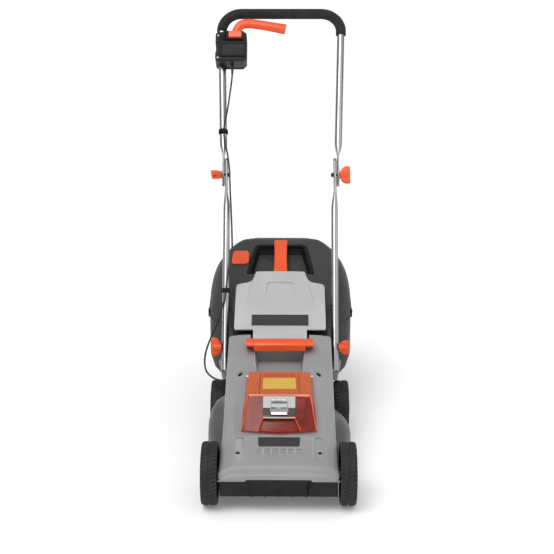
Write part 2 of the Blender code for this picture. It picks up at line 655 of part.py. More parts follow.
def make_clip(name, x, up, tube_r, cable, finish, parent):
    """Loop that holds the cable against the tube."""
    def loop(grow):
        around = []
        for a, b in circle(1.0, 16, turn=0.5):
            reach = tube_r + grow
            around.append((x + a * reach, b * reach + (cable[1] * 0.52 if b < -0.2 else 0.0)))
        return around
    rings = []
    for grow, z in ((0.0022, up - 0.004), (0.0022, up + 0.004), (0.0004, up + 0.004), (0.0004, up - 0.004)):
        rings.append([(a, b, z) for a, b in loop(grow)])
    loft(name, rings, finish, ring_like=True, parent=parent)


FLAT_UP = 0.054             # the upper tube is flattened up to here, above the joint


def upper_side_x(up):
    """Distance of the upper tube's side from the middle plane, `up` metres above the joint."""
    return 0.1628 + max(0.0, up - FLAT_UP) * 0.0325


def upper_path(start, stop_up):
    """Centre line of the U-shaped tube, from the left side over the grip to the right side."""
    corner = GRIP_UP - BEND_R
    left = [(-upper_side_x(up), up) for up in (start, stop_up) if up < corner]
    bend_x = upper_side_x(corner)
    arc = []
    for i in range(7):
        a = pi - (pi / 2) * i / 6
        arc.append((-(bend_x - BEND_R) + BEND_R * cos(a), corner + BEND_R * sin(a)))
    whole = left + arc
    return whole + [(-x, up) for x, up in reversed(whole)]


def path_ring(path, i, half_across, half_deep, wall=0.0, sides=12):
    before = Vector(path[max(i - 1, 0)])
    after = Vector(path[min(i + 1, len(path) - 1)])
    run = (after - before).normalized()
    side = Vector((run.y, -run.x))
    x, up = path[i]
    ring = []
    for a, b in circle(1.0, sides, turn=0.5):
        across = (half_across - wall) * a
        ring.append((x + side.x * across, (half_deep - wall) * b, up + side.y * across))
    return ring


def make_upper_tube(m, frame):
    ends = [(-0.034, 0.0037, 0.0130), (FLAT_UP, 0.0037, 0.0130), (0.094, UPPER_R, UPPER_R)]
    left = [(-upper_side_x(up), up) for up, _, _ in ends]
    body = upper_path(0.250, 0.440)
    path = left + body + [(-x, up) for x, up in reversed(left)]
    flat = [(across, deep) for _, across, deep in ends]
    sizes = flat + [(UPPER_R, UPPER_R)] * len(body) + flat[::-1]
    outer = [path_ring(path, i, *sizes[i]) for i in range(len(path))]
    inner = [path_ring(path, i, *sizes[i], wall=0.0015) for i in range(len(path))]
    tube = loft("upper_tube", outer + inner[::-1], m["silver"], ring_like=True, parent=frame, smooth=True)
    for s in (-1, 1):
        cut(tube, disc(f"upper_joint_cutter_{s}", BOLT_R + GAP, s * 0.12, s * 0.20, "X", (0.0, 0.0), 12,
                       parent=frame))


def make_grip(m, frame):
    path = upper_path(GRIP_UP, GRIP_UP) + [(upper_side_x(GRIP_RIGHT_END), GRIP_RIGHT_END)]
    outer = [path_ring(path, i, GRIP_R, GRIP_R) for i in range(len(path))]
    inner = [path_ring(path, i, UPPER_R + GAP, UPPER_R + GAP) for i in range(len(path))]
    loft("grip_sleeve", outer + inner[::-1], m["foam"], ring_like=True, parent=frame, smooth=True)


GRIP_RIGHT_END = 0.4350      # the grip reaches lower on the side without the switch box
BOX_LOW, BOX_HIGH = 0.315, 0.437
BOX_FRONT, BOX_BACK = -0.048, 0.016
LEVER_PIVOT = (-0.1345, 0.424)


def make_switch_box(m, frame):
    """Housing clamped on the left side of the upper tube."""
    outline = [(-0.192, BOX_LOW + 0.004), (-0.188, BOX_LOW), (-0.112, BOX_LOW), (-0.100, BOX_LOW + 0.012),
               (-0.100, BOX_HIGH - 0.012), (-0.112, BOX_HIGH), (-0.190, BOX_HIGH), (-0.192, BOX_HIGH - 0.004)]
    housing = extruded("switch_housing", outline, BOX_FRONT + 0.004, BOX_BACK, "Y", m["black"], parent=frame)
    panel = [(-0.172, 0.333), (-0.106, 0.333), (-0.104, 0.338), (-0.104, 0.386), (-0.172, 0.386)]
    join(housing, extruded("switch_panel", panel, BOX_FRONT, BOX_FRONT + 0.010, "Y", parent=frame))
    head = [(-0.160, 0.393), (-0.107, 0.393), (-0.107, 0.431), (-0.160, 0.431)]
    join(housing, extruded("switch_head", head, BOX_FRONT, BOX_FRONT + 0.010, "Y", parent=frame))

    path = [(-upper_side_x(0.30), 0.30), (-upper_side_x(0.452), 0.452)]
    rings = [path_ring(path, i, UPPER_R + GAP, UPPER_R + GAP) for i in (0, 1)]
    bore = loft("switch_tube_cutter", rings, parent=frame)
    lever_room = box("lever_room_cutter", (-0.1530, -0.1160), (-0.0375, -0.0165), (0.409, 0.60), parent=frame)
    pocket = box("button_pocket_cutter", (-0.1554, -0.1116), (-0.06, -0.0400), (0.3986, 0.4284), parent=frame)
    switch_room = box("microswitch_cutter", (-0.1520, -0.1180), (-0.0040, 0.05), (0.3660, 0.4000),
                      parent=frame)
    pin_room = disc("lever_pin_cutter", 0.0028, -0.0393, 0.05, "Y", LEVER_PIVOT, 8, parent=frame)
    cut(housing, bore, lever_room, pocket, switch_room, pin_room)

    back = [(-0.190, BOX_LOW + 0.006), (-0.102, BOX_LOW + 0.012), (-0.102, BOX_HIGH - 0.012),
            (-0.190, BOX_HIGH - 0.006)]
    extruded("switch_back_cover", back, BOX_BACK + GAP, BOX_BACK + 0.0045, "Y", m["black"], parent=frame)
    box("microswitch", (-0.1505, -0.1195), (-0.0030, 0.0120), (0.3680, 0.3980), m["black"], parent=frame)
    disc("lever_pin", 0.0025, -0.0390, 0.0150, "Y", LEVER_PIVOT, 8, m["steel"], parent=frame)
    box("lock_off_button", (-0.1550, -0.1120), (-0.0530, -0.0445), (0.3990, 0.4280), m["orange"],
        parent=frame, origin=(-0.1335, -0.0490, 0.4135))
    make_lever(m, frame)


def make_lever(m, frame):
    """Bail lever: an arm up from its pivot, then a bar to the right in front of the grip."""
    px, pz = LEVER_PIVOT
    centre = [(px, pz - 0.010), (px, 0.4700), (-0.1300, 0.4870), (-0.1180, 0.4970), (-0.1000, 0.4990),
              (0.0130, 0.4790)]
    halves = [(0.0110, 0.0085), (0.0115, 0.0085), (0.0125, 0.0085), (0.0135, 0.0085), (0.0135, 0.0085),
              (0.0125, 0.0085)]
    rings = []
    for i, (across, deep) in enumerate(halves):
        ring = path_ring(centre, i, across, deep, sides=8)
        rings.append([(x, y - 0.0270, z) for x, y, z in ring])
    origin = (px, -0.0270, pz)
    lever = loft("bail_lever", rings, m["orange"], parent=frame, origin=origin, smooth=True)
    cut(lever, disc("lever_bore_cutter", 0.0028, -0.1, 0.05, "Y", LEVER_PIVOT, 8, parent=frame))


def make_upper_handle(m, lower):
    frame = empty("upper_handle_frame", (0.0, 0.0, JOINT_UP), parent=lower)
    make_upper_tube(m, frame)
    make_grip(m, frame)
    make_switch_box(m, frame)
    make_clip("cable_clip_upper", -upper_side_x(0.130), 0.130, UPPER_R, (-0.1636, -0.0139), m["black"], frame)
    return frame


def make_mounts(m):
    for side, s in (("left", -1), ("right", 1)):
        centre = (MOUNT.y, MOUNT.z)
        outline = [(-0.098, 0.128), (-0.036, 0.128), (-0.036, 0.236), (-0.046, 0.258), (-0.060, 0.264),
                   (-0.076, 0.258), (-0.086, 0.242), (-0.098, 0.210)]
        plate = extruded(f"handle_bracket_{side}", outline, s * 0.1279, s * 0.1380, "X", m["black"])
        for i in range(2):
            z = 0.172 + 0.024 * i
            depth = sorted((s * 0.1320, s * 0.15))
            cut(plate, box(f"bracket_slot_{side}_{i}", depth, (-0.11, -0.044), (z, z + 0.012)))
        cut(plate, disc(f"bracket_bore_{side}", BOLT_R + GAP, s * 0.12, s * 0.15, "X", centre, 12))
        cut(plate, disc(f"bracket_sink_{side}", 0.0073, s * 0.12, s * 0.1330, "X", centre, 12))
        make_bolt(f"mount_bolt_{side}", s, 0.1283, 0.1327, 0.1790, 0.0065, centre, m["steel"])
        reach = 0.028 if side == "left" else 0.021
        make_wing_knob(f"mount_knob_{side}", s, 0.1582, 0.1860, reach, centre, m["orange"], None, False)


# ---------------------------------------------------------------- cable
UPPER_CABLE = [(-0.1420, -0.0170, 0.3147), (-0.1423, -0.0168, 0.3020), (-0.1450, -0.0165, 0.2700),
               (-0.1525, -0.0158, 0.2050), (-0.1605, -0.0148, 0.1550), (-0.1636, -0.0140, 0.1300),
               (-0.1600, -0.0142, 0.0980), (-0.1520, -0.0150, 0.0600), (-0.1470, -0.0150, 0.0270),
               (-0.1447, -0.0150, 0.0050)]      # x, y, height above the joint
MIDDLE_CABLE = [(-0.1447, -0.0150, 0.5057), (-0.1440, -0.0150, 0.4950), (-0.1420, -0.0148, 0.4490),
                (-0.1385, -0.0110, 0.3900), (-0.1355, -0.0070, 0.3300), (-0.1340, -0.0050, 0.2720),
                (-0.1390, -0.0090, 0.2280), (-0.1460, -0.0124, 0.1855), (-0.1488, -0.0124, 0.1570),
                (-0.1495, -0.0124, 0.1480), (-0.1500, -0.0124, 0.1404)]     # x, y, height above the mount
LOWER_CABLE = [(-0.1501, 0.0101, 0.3638), (-0.1507, 0.0054, 0.3571), (-0.1560, -0.0038, 0.3441),
               (-0.1660, -0.0190, 0.3133),
               (-0.1800, -0.0270, 0.2770), (-0.1945, -0.0430, 0.2450), (-0.2030, -0.0560, 0.2170),
               (-0.2040, -0.0680, 0.1960), (-0.1990, -0.0820, 0.1810), (-0.1870, -0.0980, 0.1735),
               (-0.1710, -0.1170, 0.1725), (-0.1560, -0.1360, 0.1775), (-0.1440, -0.1460, 0.1830),
               (-0.1363, -0.1465, 0.1835)]      # in the machine's frame


def smooth_route(points, step=0.0065):
    """Points about `step` apart on one smooth curve through the route's own points."""
    route = [Vector(p) for p in points]
    out = []
    for i in range(len(route) - 1):
        a = route[max(i - 1, 0)]
        b, c = route[i], route[i + 1]
        d = route[min(i + 2, len(route) - 1)]
        pieces = max(1, round((c - b).length / step))
        for j in range(pieces):
            t = j / pieces
            point = 0.5 * (2 * b + (c - a) * t + (2 * a - 5 * b + 4 * c - d) * t ** 2
                           + (3 * b - a - 3 * c + d) * t ** 3)
            out.append(point)
    out.append(route[-1])
    return out


def make_cable(m, lower, upper):
    tube_curve("cable_upper", smooth_route(UPPER_CABLE, 0.012), CABLE_R, m["cable"], 2, parent=upper)
    tube_curve("cable_middle", smooth_route(MIDDLE_CABLE, 0.013), CABLE_R, m["cable"], 2, parent=lower)
    tube_curve("cable_lower", smooth_route(LOWER_CABLE, 0.0075), CABLE_R, m["cable"], 2)


def main():
    clear_scene()
    m = make_materials()
    make_wheels(m)
    make_deck(m)
    make_drive(m)
    make_hood(m)
    make_battery_bay(m)
    make_battery_cover(m)
    make_controller(m)
    make_flap(m)
    make_catcher(m)
    lower = make_lower_handle(m)
    upper = make_upper_handle(m, lower)
    make_mounts(m)
    make_cable(m, lower, upper)
    bpy.context.view_layer.update()


main()
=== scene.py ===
"""Looks of the cordless lawn mower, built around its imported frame.

Metres, +Z up. The mower stands on z = 0 and faces -Y, with its handle towards +Y.
"""

import json
from math import atan2, cos, pi, radians, sin, tan

import bmesh
import bpy
from mathutils import Matrix, Vector


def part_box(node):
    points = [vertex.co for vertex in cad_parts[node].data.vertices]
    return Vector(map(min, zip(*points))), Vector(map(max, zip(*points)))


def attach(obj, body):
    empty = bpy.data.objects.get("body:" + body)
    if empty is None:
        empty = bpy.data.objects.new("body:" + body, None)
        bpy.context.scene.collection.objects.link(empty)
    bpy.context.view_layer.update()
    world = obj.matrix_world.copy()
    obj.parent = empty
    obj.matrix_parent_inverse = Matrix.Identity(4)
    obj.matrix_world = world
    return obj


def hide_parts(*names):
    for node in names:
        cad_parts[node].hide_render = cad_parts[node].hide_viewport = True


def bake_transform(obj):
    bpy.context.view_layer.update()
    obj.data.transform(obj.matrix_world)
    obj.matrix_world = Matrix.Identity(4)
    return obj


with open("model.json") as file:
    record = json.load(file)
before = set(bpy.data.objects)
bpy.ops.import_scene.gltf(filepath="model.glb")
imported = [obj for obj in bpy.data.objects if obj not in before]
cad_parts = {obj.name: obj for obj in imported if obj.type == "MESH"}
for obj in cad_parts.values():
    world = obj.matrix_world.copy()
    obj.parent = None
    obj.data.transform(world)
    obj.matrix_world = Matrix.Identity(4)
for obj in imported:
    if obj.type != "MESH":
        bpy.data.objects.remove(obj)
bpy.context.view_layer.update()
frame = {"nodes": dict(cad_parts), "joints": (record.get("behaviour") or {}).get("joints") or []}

# ---------------------------------------------------------------- places read from the frame
SIDES = (("left", -1), ("right", 1))
WHEEL_LOW, WHEEL_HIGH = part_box("wheel_front_right")
WHEEL_R = (WHEEL_HIGH[2] - WHEEL_LOW[2]) / 2
WHEEL_IN, WHEEL_OUT = WHEEL_LOW[0], WHEEL_HIGH[0]
JOINTS = {joint["name"]: joint for joint in frame["joints"]}
MOUNT = Vector(JOINTS["lower_handle_fold"]["pos_m"])
FOLD = Vector(JOINTS["upper_handle_fold"]["pos_m"])
ALONG = (FOLD - MOUNT).normalized()             # up the handle
JOINT_UP = (FOLD - MOUNT).length
DEEP = Vector((0.0, ALONG.z, -ALONG.y))         # out of the handle's plane, to the rear
BLADE_Y = JOINTS["blade_spin"]["pos_m"][1]
FLAP_PIN = Vector(JOINTS["rear_flap_hinge"]["pos_m"])
FLAP_SLOPE = radians(23.6)                      # of the closed flap, from its rod to its end
CABLE_D = 0.005


# ---------------------------------------------------------------- camera, floor and lights
def make_camera():
    data = bpy.data.cameras.new("camera")
    data.lens = 71.3
    data.sensor_width = 36.0
    camera = bpy.data.objects.new("camera", data)
    camera.location = (0.0166, -2.8204, 1.3466)
    camera.rotation_euler = (radians(71.85), 0.0, radians(0.513))
    bpy.context.scene.collection.objects.link(camera)
    bpy.context.scene.camera = camera


def area_light(name, place, aim, size, power):
    data = bpy.data.lights.new(name, "AREA")
    data.shape = "RECTANGLE"
    data.size, data.size_y = size
    data.energy = power
    light = bpy.data.objects.new(name, data)
    light.location = place
    light.rotation_euler = (Vector(aim) - Vector(place)).to_track_quat("-Z", "Y").to_euler()
    bpy.context.scene.collection.objects.link(light)


def sun_light(name, towards, spread, power):
    """Soft light from the direction `towards`, even over the whole floor."""
    data = bpy.data.lights.new(name, "SUN")
    data.energy = power
    data.angle = radians(spread)
    light = bpy.data.objects.new(name, data)
    light.rotation_euler = (-Vector(towards)).to_track_quat("-Z", "Y").to_euler()
    bpy.context.scene.collection.objects.link(light)


def make_studio():
    """White floor, two soft suns and an edge light, under a sky that is dark only just above the horizon."""
    bpy.context.scene.view_settings.view_transform = "Standard"
    world = bpy.data.worlds.new("studio")
    world.use_nodes = True
    tree = world.node_tree
    ramp = tree.nodes.new("ShaderNodeValToRGB")
    ramp.color_ramp.elements.new(0.6)
    for element, (spot, level) in zip(ramp.color_ramp.elements, ((0.58, 1.0), (0.64, 0.08), (0.84, 0.64))):
        element.position = spot
        element.color = (level, level, level, 1.0)
    split = tree.nodes.new("ShaderNodeSeparateXYZ")
    half = tree.nodes.new("ShaderNodeMath")
    half.operation = "MULTIPLY_ADD"
    half.inputs[1].default_value = half.inputs[2].default_value = 0.5
    tree.links.new(tree.nodes.new("ShaderNodeTexCoord").outputs["Generated"], split.inputs[0])
    tree.links.new(split.outputs["Z"], half.inputs[0])
    tree.links.new(half.outputs[0], ramp.inputs["Fac"])
    tree.links.new(ramp.outputs["Color"], tree.nodes["Background"].inputs["Color"])
    tree.nodes["Background"].inputs["Strength"].default_value = 1.0
    bpy.context.scene.world = world
    mesh = bpy.data.meshes.new("floor")
    reach = 40.0
    mesh.from_pydata([(-reach, -reach, 0), (reach, -reach, 0), (reach, reach, 0), (-reach, reach, 0)], [],
                     [(0, 1, 2, 3)])
    floor = bpy.data.objects.new("floor", mesh)
    bpy.context.scene.collection.objects.link(floor)
    made = bpy.data.materials.new("floor_white")
    made.use_nodes = True
    shader = made.node_tree.nodes["Principled BSDF"]
    shader.inputs["Base Color"].default_value = (0.93, 0.93, 0.93, 1.0)
    shader.inputs["Roughness"].default_value = 0.9
    shader.inputs["Specular IOR Level"].default_value = 0.1
    shader.inputs["Emission Color"].default_value = (1.0, 1.0, 1.0, 1.0)
    shader.inputs["Emission Strength"].default_value = 0.12
    mesh.materials.append(made)
    sun_light("key", (-0.55, -0.75, 1.6), 40.0, 1.55)
    sun_light("fill", (0.9, -0.9, 1.4), 60.0, 0.30)
    area_light("edge", (1.9, -0.2, 1.5), (0.0, 0.0, 0.5), (0.5, 1.6), 5.0)


make_camera()
make_studio()


# ---------------------------------------------------------------- materials
class Nodes:
    """A Principled material whose maps are added one by one."""

    def __init__(self, name, colour, roughness, metallic=0.0):
        self.material = bpy.data.materials.new(name)
        self.material.use_nodes = True
        self.tree = self.material.node_tree
        self.shader = self.tree.nodes["Principled BSDF"]
        self.set("Base Color", (*colour, 1.0))
        self.set("Roughness", roughness)
        self.set("Metallic", metallic)
        self.place = self.add("ShaderNodeTexCoord").outputs["Object"]

    def add(self, kind, **settings):
        node = self.tree.nodes.new(kind)
        for name, value in settings.items():
            setattr(node, name, value)
        return node

    def set(self, socket, value):
        self.shader.inputs[socket].default_value = value

    def link(self, a, b):
        self.tree.links.new(a, b)

    def noise(self, scale, detail=2.0, stretch=None):
        source = self.place
        if stretch:
            mapping = self.add("ShaderNodeMapping")
            mapping.inputs["Scale"].default_value = stretch
            self.link(source, mapping.inputs["Vector"])
            source = mapping.outputs["Vector"]
        node = self.add("ShaderNodeTexNoise")
        node.inputs["Scale"].default_value = scale
        node.inputs["Detail"].default_value = detail
        self.link(source, node.inputs["Vector"])
        return node.outputs["Fac"]

    def ranged(self, value, low, high, start=0.3, end=0.7):
        node = self.add("ShaderNodeMapRange")
        for socket, number in (("From Min", start), ("From Max", end), ("To Min", low), ("To Max", high)):
            node.inputs[socket].default_value = number
        self.link(value, node.inputs["Value"])
        return node.outputs["Result"]

    def mix(self, factor, a, b):
        node = self.add("ShaderNodeMix", data_type="RGBA")
        for socket, value in ((node.inputs["Factor"], factor), (node.inputs[6], a), (node.inputs[7], b)):
            if isinstance(value, (tuple, list)):
                socket.default_value = (*value, 1.0)
            else:
                self.link(value, socket)
        return node.outputs[2]

    def bump(self, height, distance, strength):
        node = self.add("ShaderNodeBump")
        node.inputs["Distance"].default_value = distance
        node.inputs["Strength"].default_value = strength
        self.link(height, node.inputs["Height"])
        self.link(node.outputs["Normal"], self.shader.inputs["Normal"])


def shade(colour, factor):
    return tuple(min(1.0, c * factor) for c in colour)


def moulded(name, colour, roughness, grain=900.0, depth=0.00025, wear=1.35, spread=0.06, gloss=0.5):
    """Moulded plastic: a fine spark-eroded grain, slight colour drift, paler along its edges."""
    n = Nodes(name, colour, roughness)
    drift = n.ranged(n.noise(9.0, 3.0), 0.0, 1.0)
    base = n.mix(drift, shade(colour, 1.0 - spread), shade(colour, 1.0 + spread))
    edge = n.ranged(n.add("ShaderNodeNewGeometry").outputs["Pointiness"], 0.0, 0.55, 0.515, 0.60)
    n.link(n.mix(edge, base, shade(colour, wear)), n.shader.inputs["Base Color"])
    n.link(n.ranged(n.noise(60.0, 4.0), roughness - 0.05, roughness + 0.06), n.shader.inputs["Roughness"])
    n.bump(n.noise(grain, 3.0), depth, 0.45)
    n.set("Specular IOR Level", gloss)
    return n.material


def brushed(name, colour, roughness, stretch):
    """Metal with fine draw lines along one direction."""
    n = Nodes(name, colour, roughness, metallic=1.0)
    lines = n.noise(1.0, 4.0, stretch)
    n.link(n.mix(n.ranged(lines, 0.0, 1.0), shade(colour, 0.90), shade(colour, 1.06)),
           n.shader.inputs["Base Color"])
    n.link(n.ranged(lines, roughness - 0.07, roughness + 0.10), n.shader.inputs["Roughness"])
    n.bump(lines, 0.00001, 0.1)
    return n.material


def foam(name, colour):
    """Closed-cell foam: small cells, with patches worn paler."""
    n = Nodes(name, colour, 0.85)
    cells = n.add("ShaderNodeTexVoronoi")
    cells.inputs["Scale"].default_value = 420.0
    n.link(n.place, cells.inputs["Vector"])
    n.link(n.mix(n.ranged(n.noise(35.0, 4.0), 0.0, 1.0), shade(colour, 0.75), shade(colour, 1.5)),
           n.shader.inputs["Base Color"])
    n.bump(cells.outputs["Distance"], 0.0006, 0.6)
    n.set("Specular IOR Level", 0.35)
    return n.material


COVER_SHADE_LINE = -0.354             # the cover's crest: in front of it the colour is painted darker as shade, behind it paler as lit
SHADED_FRONT_ORANGE = (0.74, 0.060, 0.012)


def clear_plastic(name, colour):
    """Tinted polycarbonate: gloss outside, with faint flow lines; painted light and shade make it paler and
    less clear behind the crest and darker and clearer in front of it.
    """
    n = Nodes(name, colour, 0.06)
    n.set("IOR", 1.40)
    n.set("Specular IOR Level", 0.35)
    split = n.add("ShaderNodeSeparateXYZ")
    n.link(n.place, split.inputs[0])
    # painted light and shade: behind the crest the cover is paler and less clear, as lit; in front of it darker
    # and clearer, as in shade
    rear = n.ranged(split.outputs["Y"], 0.0, 1.0, COVER_SHADE_LINE, COVER_SHADE_LINE + 0.006)
    deep = n.mix(n.ranged(n.noise(14.0, 3.0), 0.0, 1.0), shade(SHADED_FRONT_ORANGE, 0.9), SHADED_FRONT_ORANGE)
    n.link(n.mix(rear, deep, colour), n.shader.inputs["Base Color"])
    n.link(n.ranged(rear, 0.86, 0.60, 0.0, 1.0), n.shader.inputs["Transmission Weight"])
    n.link(n.ranged(n.noise(40.0, 3.0), 0.14, 0.22), n.shader.inputs["Roughness"])
    n.bump(n.noise(120.0, 2.0), 0.00012, 0.15)
    return n.material


GREY = (0.270, 0.272, 0.277)
LIGHT_GREY = (0.430, 0.432, 0.437)
BLACK = (0.009, 0.0092, 0.010)
DARK = (0.036, 0.037, 0.039)
ORANGE = (0.80, 0.085, 0.010)
M = {
    "hood": moulded("hood_grey", GREY, 0.42),
    "flap": moulded("flap_light_grey", LIGHT_GREY, 0.44),
    # painted shade: a darker copy of the hood's grey, used for the chamber shoulders
    "deck": moulded("hood_grey_painted_shade", (0.085, 0.086, 0.089), 0.45, gloss=0.35),
    "black": moulded("satin_black", BLACK, 0.50, wear=2.2, gloss=0.25),
    "board_black": moulded("deep_black", (0.006, 0.006, 0.007), 0.6, wear=1.6, gloss=0.2),
    "catcher": moulded("catcher_dark_grey", DARK, 0.50, grain=700.0, depth=0.00035, gloss=0.35),
    "orange": moulded("orange_gloss", ORANGE, 0.32, depth=0.00015, wear=1.12, spread=0.04),
    "wheel": moulded("wheel_black", (0.020, 0.0205, 0.022), 0.55, grain=520.0, depth=0.0004, wear=1.8,
                     gloss=0.3),
    "latch": moulded("latch_pale", (0.44, 0.43, 0.42), 0.30, wear=1.1),
    "label": moulded("label_yellow", (0.62, 0.38, 0.06), 0.42, depth=0.0001, wear=1.0, spread=0.10),
    "plate": moulded("rating_plate_dark", (0.020, 0.021, 0.022), 0.40, depth=0.0001, spread=0.10),
    "board": moulded("circuit_green", (0.02, 0.14, 0.05), 0.4),
    "tube": brushed("tube_silver", (0.36, 0.36, 0.37), 0.24, (1400.0, 1400.0, 25.0)),
    "steel": brushed("zinc_steel", (0.56, 0.57, 0.58), 0.32, (300.0, 40.0, 300.0)),
    "chrome": brushed("latch_chrome", (0.55, 0.56, 0.57), 0.14, (500.0, 20.0, 20.0)),
    "blade": brushed("blade_dark", (0.09, 0.09, 0.095), 0.45, (30.0, 400.0, 400.0)),
    "foam": foam("grip_foam", (0.016, 0.016, 0.017)),
    "rubber": moulded("cable_sheath", (0.013, 0.013, 0.014), 0.5, grain=1400.0, depth=0.0001),
    # painted highlight: pale orange for the lit crest of the clear cover
    "crest_highlight": moulded("crest_highlight_orange", (0.85, 0.33, 0.20), 0.30, wear=1.05),
    "deep": moulded("deep_orange", (0.42, 0.03, 0.006), 0.35, wear=1.1),
    "clear": clear_plastic("clear_orange", (0.95, 0.25, 0.085)),
}


# ---------------------------------------------------------------- mesh helpers
def build(name, points, faces, finish, smooth=40):
    """Object from points and faces, smooth up to an angle of `smooth` degrees."""
    mesh = bpy.data.meshes.new(name)
    mesh.from_pydata([tuple(p) for p in points], [], faces)
    work = bmesh.new()
    work.from_mesh(mesh)
    bmesh.ops.recalc_face_normals(work, faces=work.faces)
    work.to_mesh(mesh)
    work.free()
    mesh.shade_smooth()
    mesh.set_sharp_from_angle(angle=radians(smooth))
    if finish:
        mesh.materials.append(M[finish])
    made = bpy.data.objects.new(name, mesh)
    bpy.context.scene.collection.objects.link(made)
    return made


def loft(name, rings, finish=None, closed=False, smooth=40):
    """Skin a row of equal loops. With `closed` the last loop joins the first."""
    count = len(rings[0])
    points = [p for ring in rings for p in ring]
    faces = []
    for i in range(len(rings) if closed else len(rings) - 1):
        a, b = i * count, ((i + 1) % len(rings)) * count
        for j in range(count):
            k = (j + 1) % count
            faces.append((a + j, a + k, b + k, b + j))
    if not closed:
        faces += [tuple(range(count)), tuple(range(len(points) - count, len(points)))]
    return build(name, points, faces, finish, smooth)


def extruded(name, outline, low, high, axis, finish=None):
    """Prism from an outline across the axis, from `low` to `high` along it."""
    def at(a, b, t):
        return {"X": (t, a, b), "Y": (a, t, b), "Z": (a, b, t)}[axis]
    return loft(name, [[at(a, b, t) for a, b in outline] for t in (low, high)], finish)


def box(name, x, y, z, finish=None):
    return extruded(name, [(x[0], y[0]), (x[1], y[0]), (x[1], y[1]), (x[0], y[1])], z[0], z[1], "Z", finish)


def circle(radius, sides, centre=(0.0, 0.0)):
    """Regular outline with a side, not a corner, at each axis."""
    step = 2 * pi / sides
    return [(centre[0] + radius * cos((i + 0.5) * step), centre[1] + radius * sin((i + 0.5) * step))
            for i in range(sides)]


def disc(name, radius, low, high, axis, centre=(0.0, 0.0), sides=32, finish=None):
    return extruded(name, circle(radius, sides, centre), low, high, axis, finish)


def grid(name, rows, finish, smooth=40):
    """Open sheet through rows of points."""
    count = len(rows[0])
    faces = [(i * count + j, i * count + j + 1, (i + 1) * count + j + 1, (i + 1) * count + j)
             for i in range(len(rows) - 1) for j in range(count - 1)]
    return build(name, [p for row in rows for p in row], faces, finish, smooth)


def settle(piece):
    """Apply the piece's modifiers."""
    graph = bpy.context.evaluated_depsgraph_get()
    mesh = bpy.data.meshes.new_from_object(piece.evaluated_get(graph))
    piece.modifiers.clear()
    piece.data = mesh


def combine(piece, others, operation):
    """Boolean with each of the others, which are used up."""
    for other in others:
        step = piece.modifiers.new(other.name, "BOOLEAN")
        step.operation = operation
        step.object = other
        step.solver = "EXACT"
    settle(piece)
    for other in others:
        bpy.data.objects.remove(other, do_unlink=True)


def cut(piece, *others):
    combine(piece, others, "DIFFERENCE")


def join(piece, *others):
    combine(piece, others, "UNION")


def soften(piece, width, segments=3, angle=28):
    """Round the edges, as a mould does, and keep the faces between them flat."""
    step = piece.modifiers.new("soft_edges", "BEVEL")
    step.width = width
    step.segments = segments
    step.limit_method = "ANGLE"
    step.angle_limit = radians(angle)
    step.harden_normals = True
    step.use_clamp_overlap = True
    settle(piece)


def place(piece, rotation, origin):
    """Turn the piece's own frame into the machine's frame."""
    piece.data.transform(Matrix.Translation(origin) @ rotation.to_4x4())


def fit(piece, body, slot, *nodes):
    """Put the piece on its body and hide the CAD nodes it takes over; `slot` is not used."""
    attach(piece, body)
    if nodes:
        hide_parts(*nodes)
    return piece


def on_handle(x, depth, up):
    """Handle-local place, with `up` measured from the mount, in the machine's frame."""
    return MOUNT + Vector((x, 0.0, 0.0)) + DEEP * depth + ALONG * up


HANDLE_TURN = Matrix((Vector((1.0, 0.0, 0.0)), DEEP, ALONG)).transposed()


def to_handle(piece, above_joint=False):
    """Move a piece made in handle-local x, depth and height to its place on the machine."""
    place(piece, HANDLE_TURN, FOLD if above_joint else MOUNT)


def smooth_route(points, step):
    """Points about `step` apart on one smooth curve through the route's own points."""
    route = [Vector(p) for p in points]
    out = []
    for i in range(len(route) - 1):
        a = route[max(i - 1, 0)]
        b, c = route[i], route[i + 1]
        d = route[min(i + 2, len(route) - 1)]
        pieces = max(1, round((c - b).length / step))
        for j in range(pieces):
            t = j / pieces
            out.append(0.5 * (2 * b + (c - a) * t + (2 * a - 5 * b + 4 * c - d) * t ** 2
                              + (3 * b - a - 3 * c + d) * t ** 3))
    out.append(route[-1])
    return out


def sweep(name, path, radius, finish, sides):
    """Round tube along a path. `radius` is a number, or one (across, deep) pair for each point."""
    points = [Vector(p) for p in path]
    rings = []
    side = None
    for i, point in enumerate(points):
        run = (points[min(i + 1, len(points) - 1)] - points[max(i - 1, 0)]).normalized()
        if side is None:
            side = run.cross(Vector((0.0, 1.0, 0.0)) if abs(run.y) < 0.9 else Vector((1.0, 0.0, 0.0)))
        side = (side - run * side.dot(run)).normalized()
        other = run.cross(side)
        across, deep = radius[i] if isinstance(radius, list) else (radius, radius)
        rings.append([point + side * (across * a) + other * (deep * b) for a, b in circle(1.0, sides)])
    return loft(name, rings, finish)


# ---------------------------------------------------------------- the switch cable
UPPER_CABLE = [(-0.1420, -0.0170, 0.3147), (-0.1423, -0.0168, 0.3020), (-0.1450, -0.0165, 0.2700),
               (-0.1525, -0.0158, 0.2050), (-0.1605, -0.0148, 0.1550), (-0.1636, -0.0140, 0.1300),
               (-0.1600, -0.0142, 0.0980), (-0.1520, -0.0150, 0.0600), (-0.1470, -0.0150, 0.0270),
               (-0.1447, -0.0150, 0.0050)]      # x, depth, height above the joint
MIDDLE_CABLE = [(-0.1447, -0.0150, 0.5057), (-0.1440, -0.0150, 0.4950), (-0.1420, -0.0148, 0.4490),
                (-0.1385, -0.0110, 0.3900), (-0.1355, -0.0070, 0.3300), (-0.1340, -0.0050, 0.2720),
                (-0.1390, -0.0090, 0.2280), (-0.1460, -0.0124, 0.1855), (-0.1488, -0.0124, 0.1570),
                (-0.1495, -0.0124, 0.1480), (-0.1500, -0.0124,
                                             0.1404)]     # x, depth, height above the mount
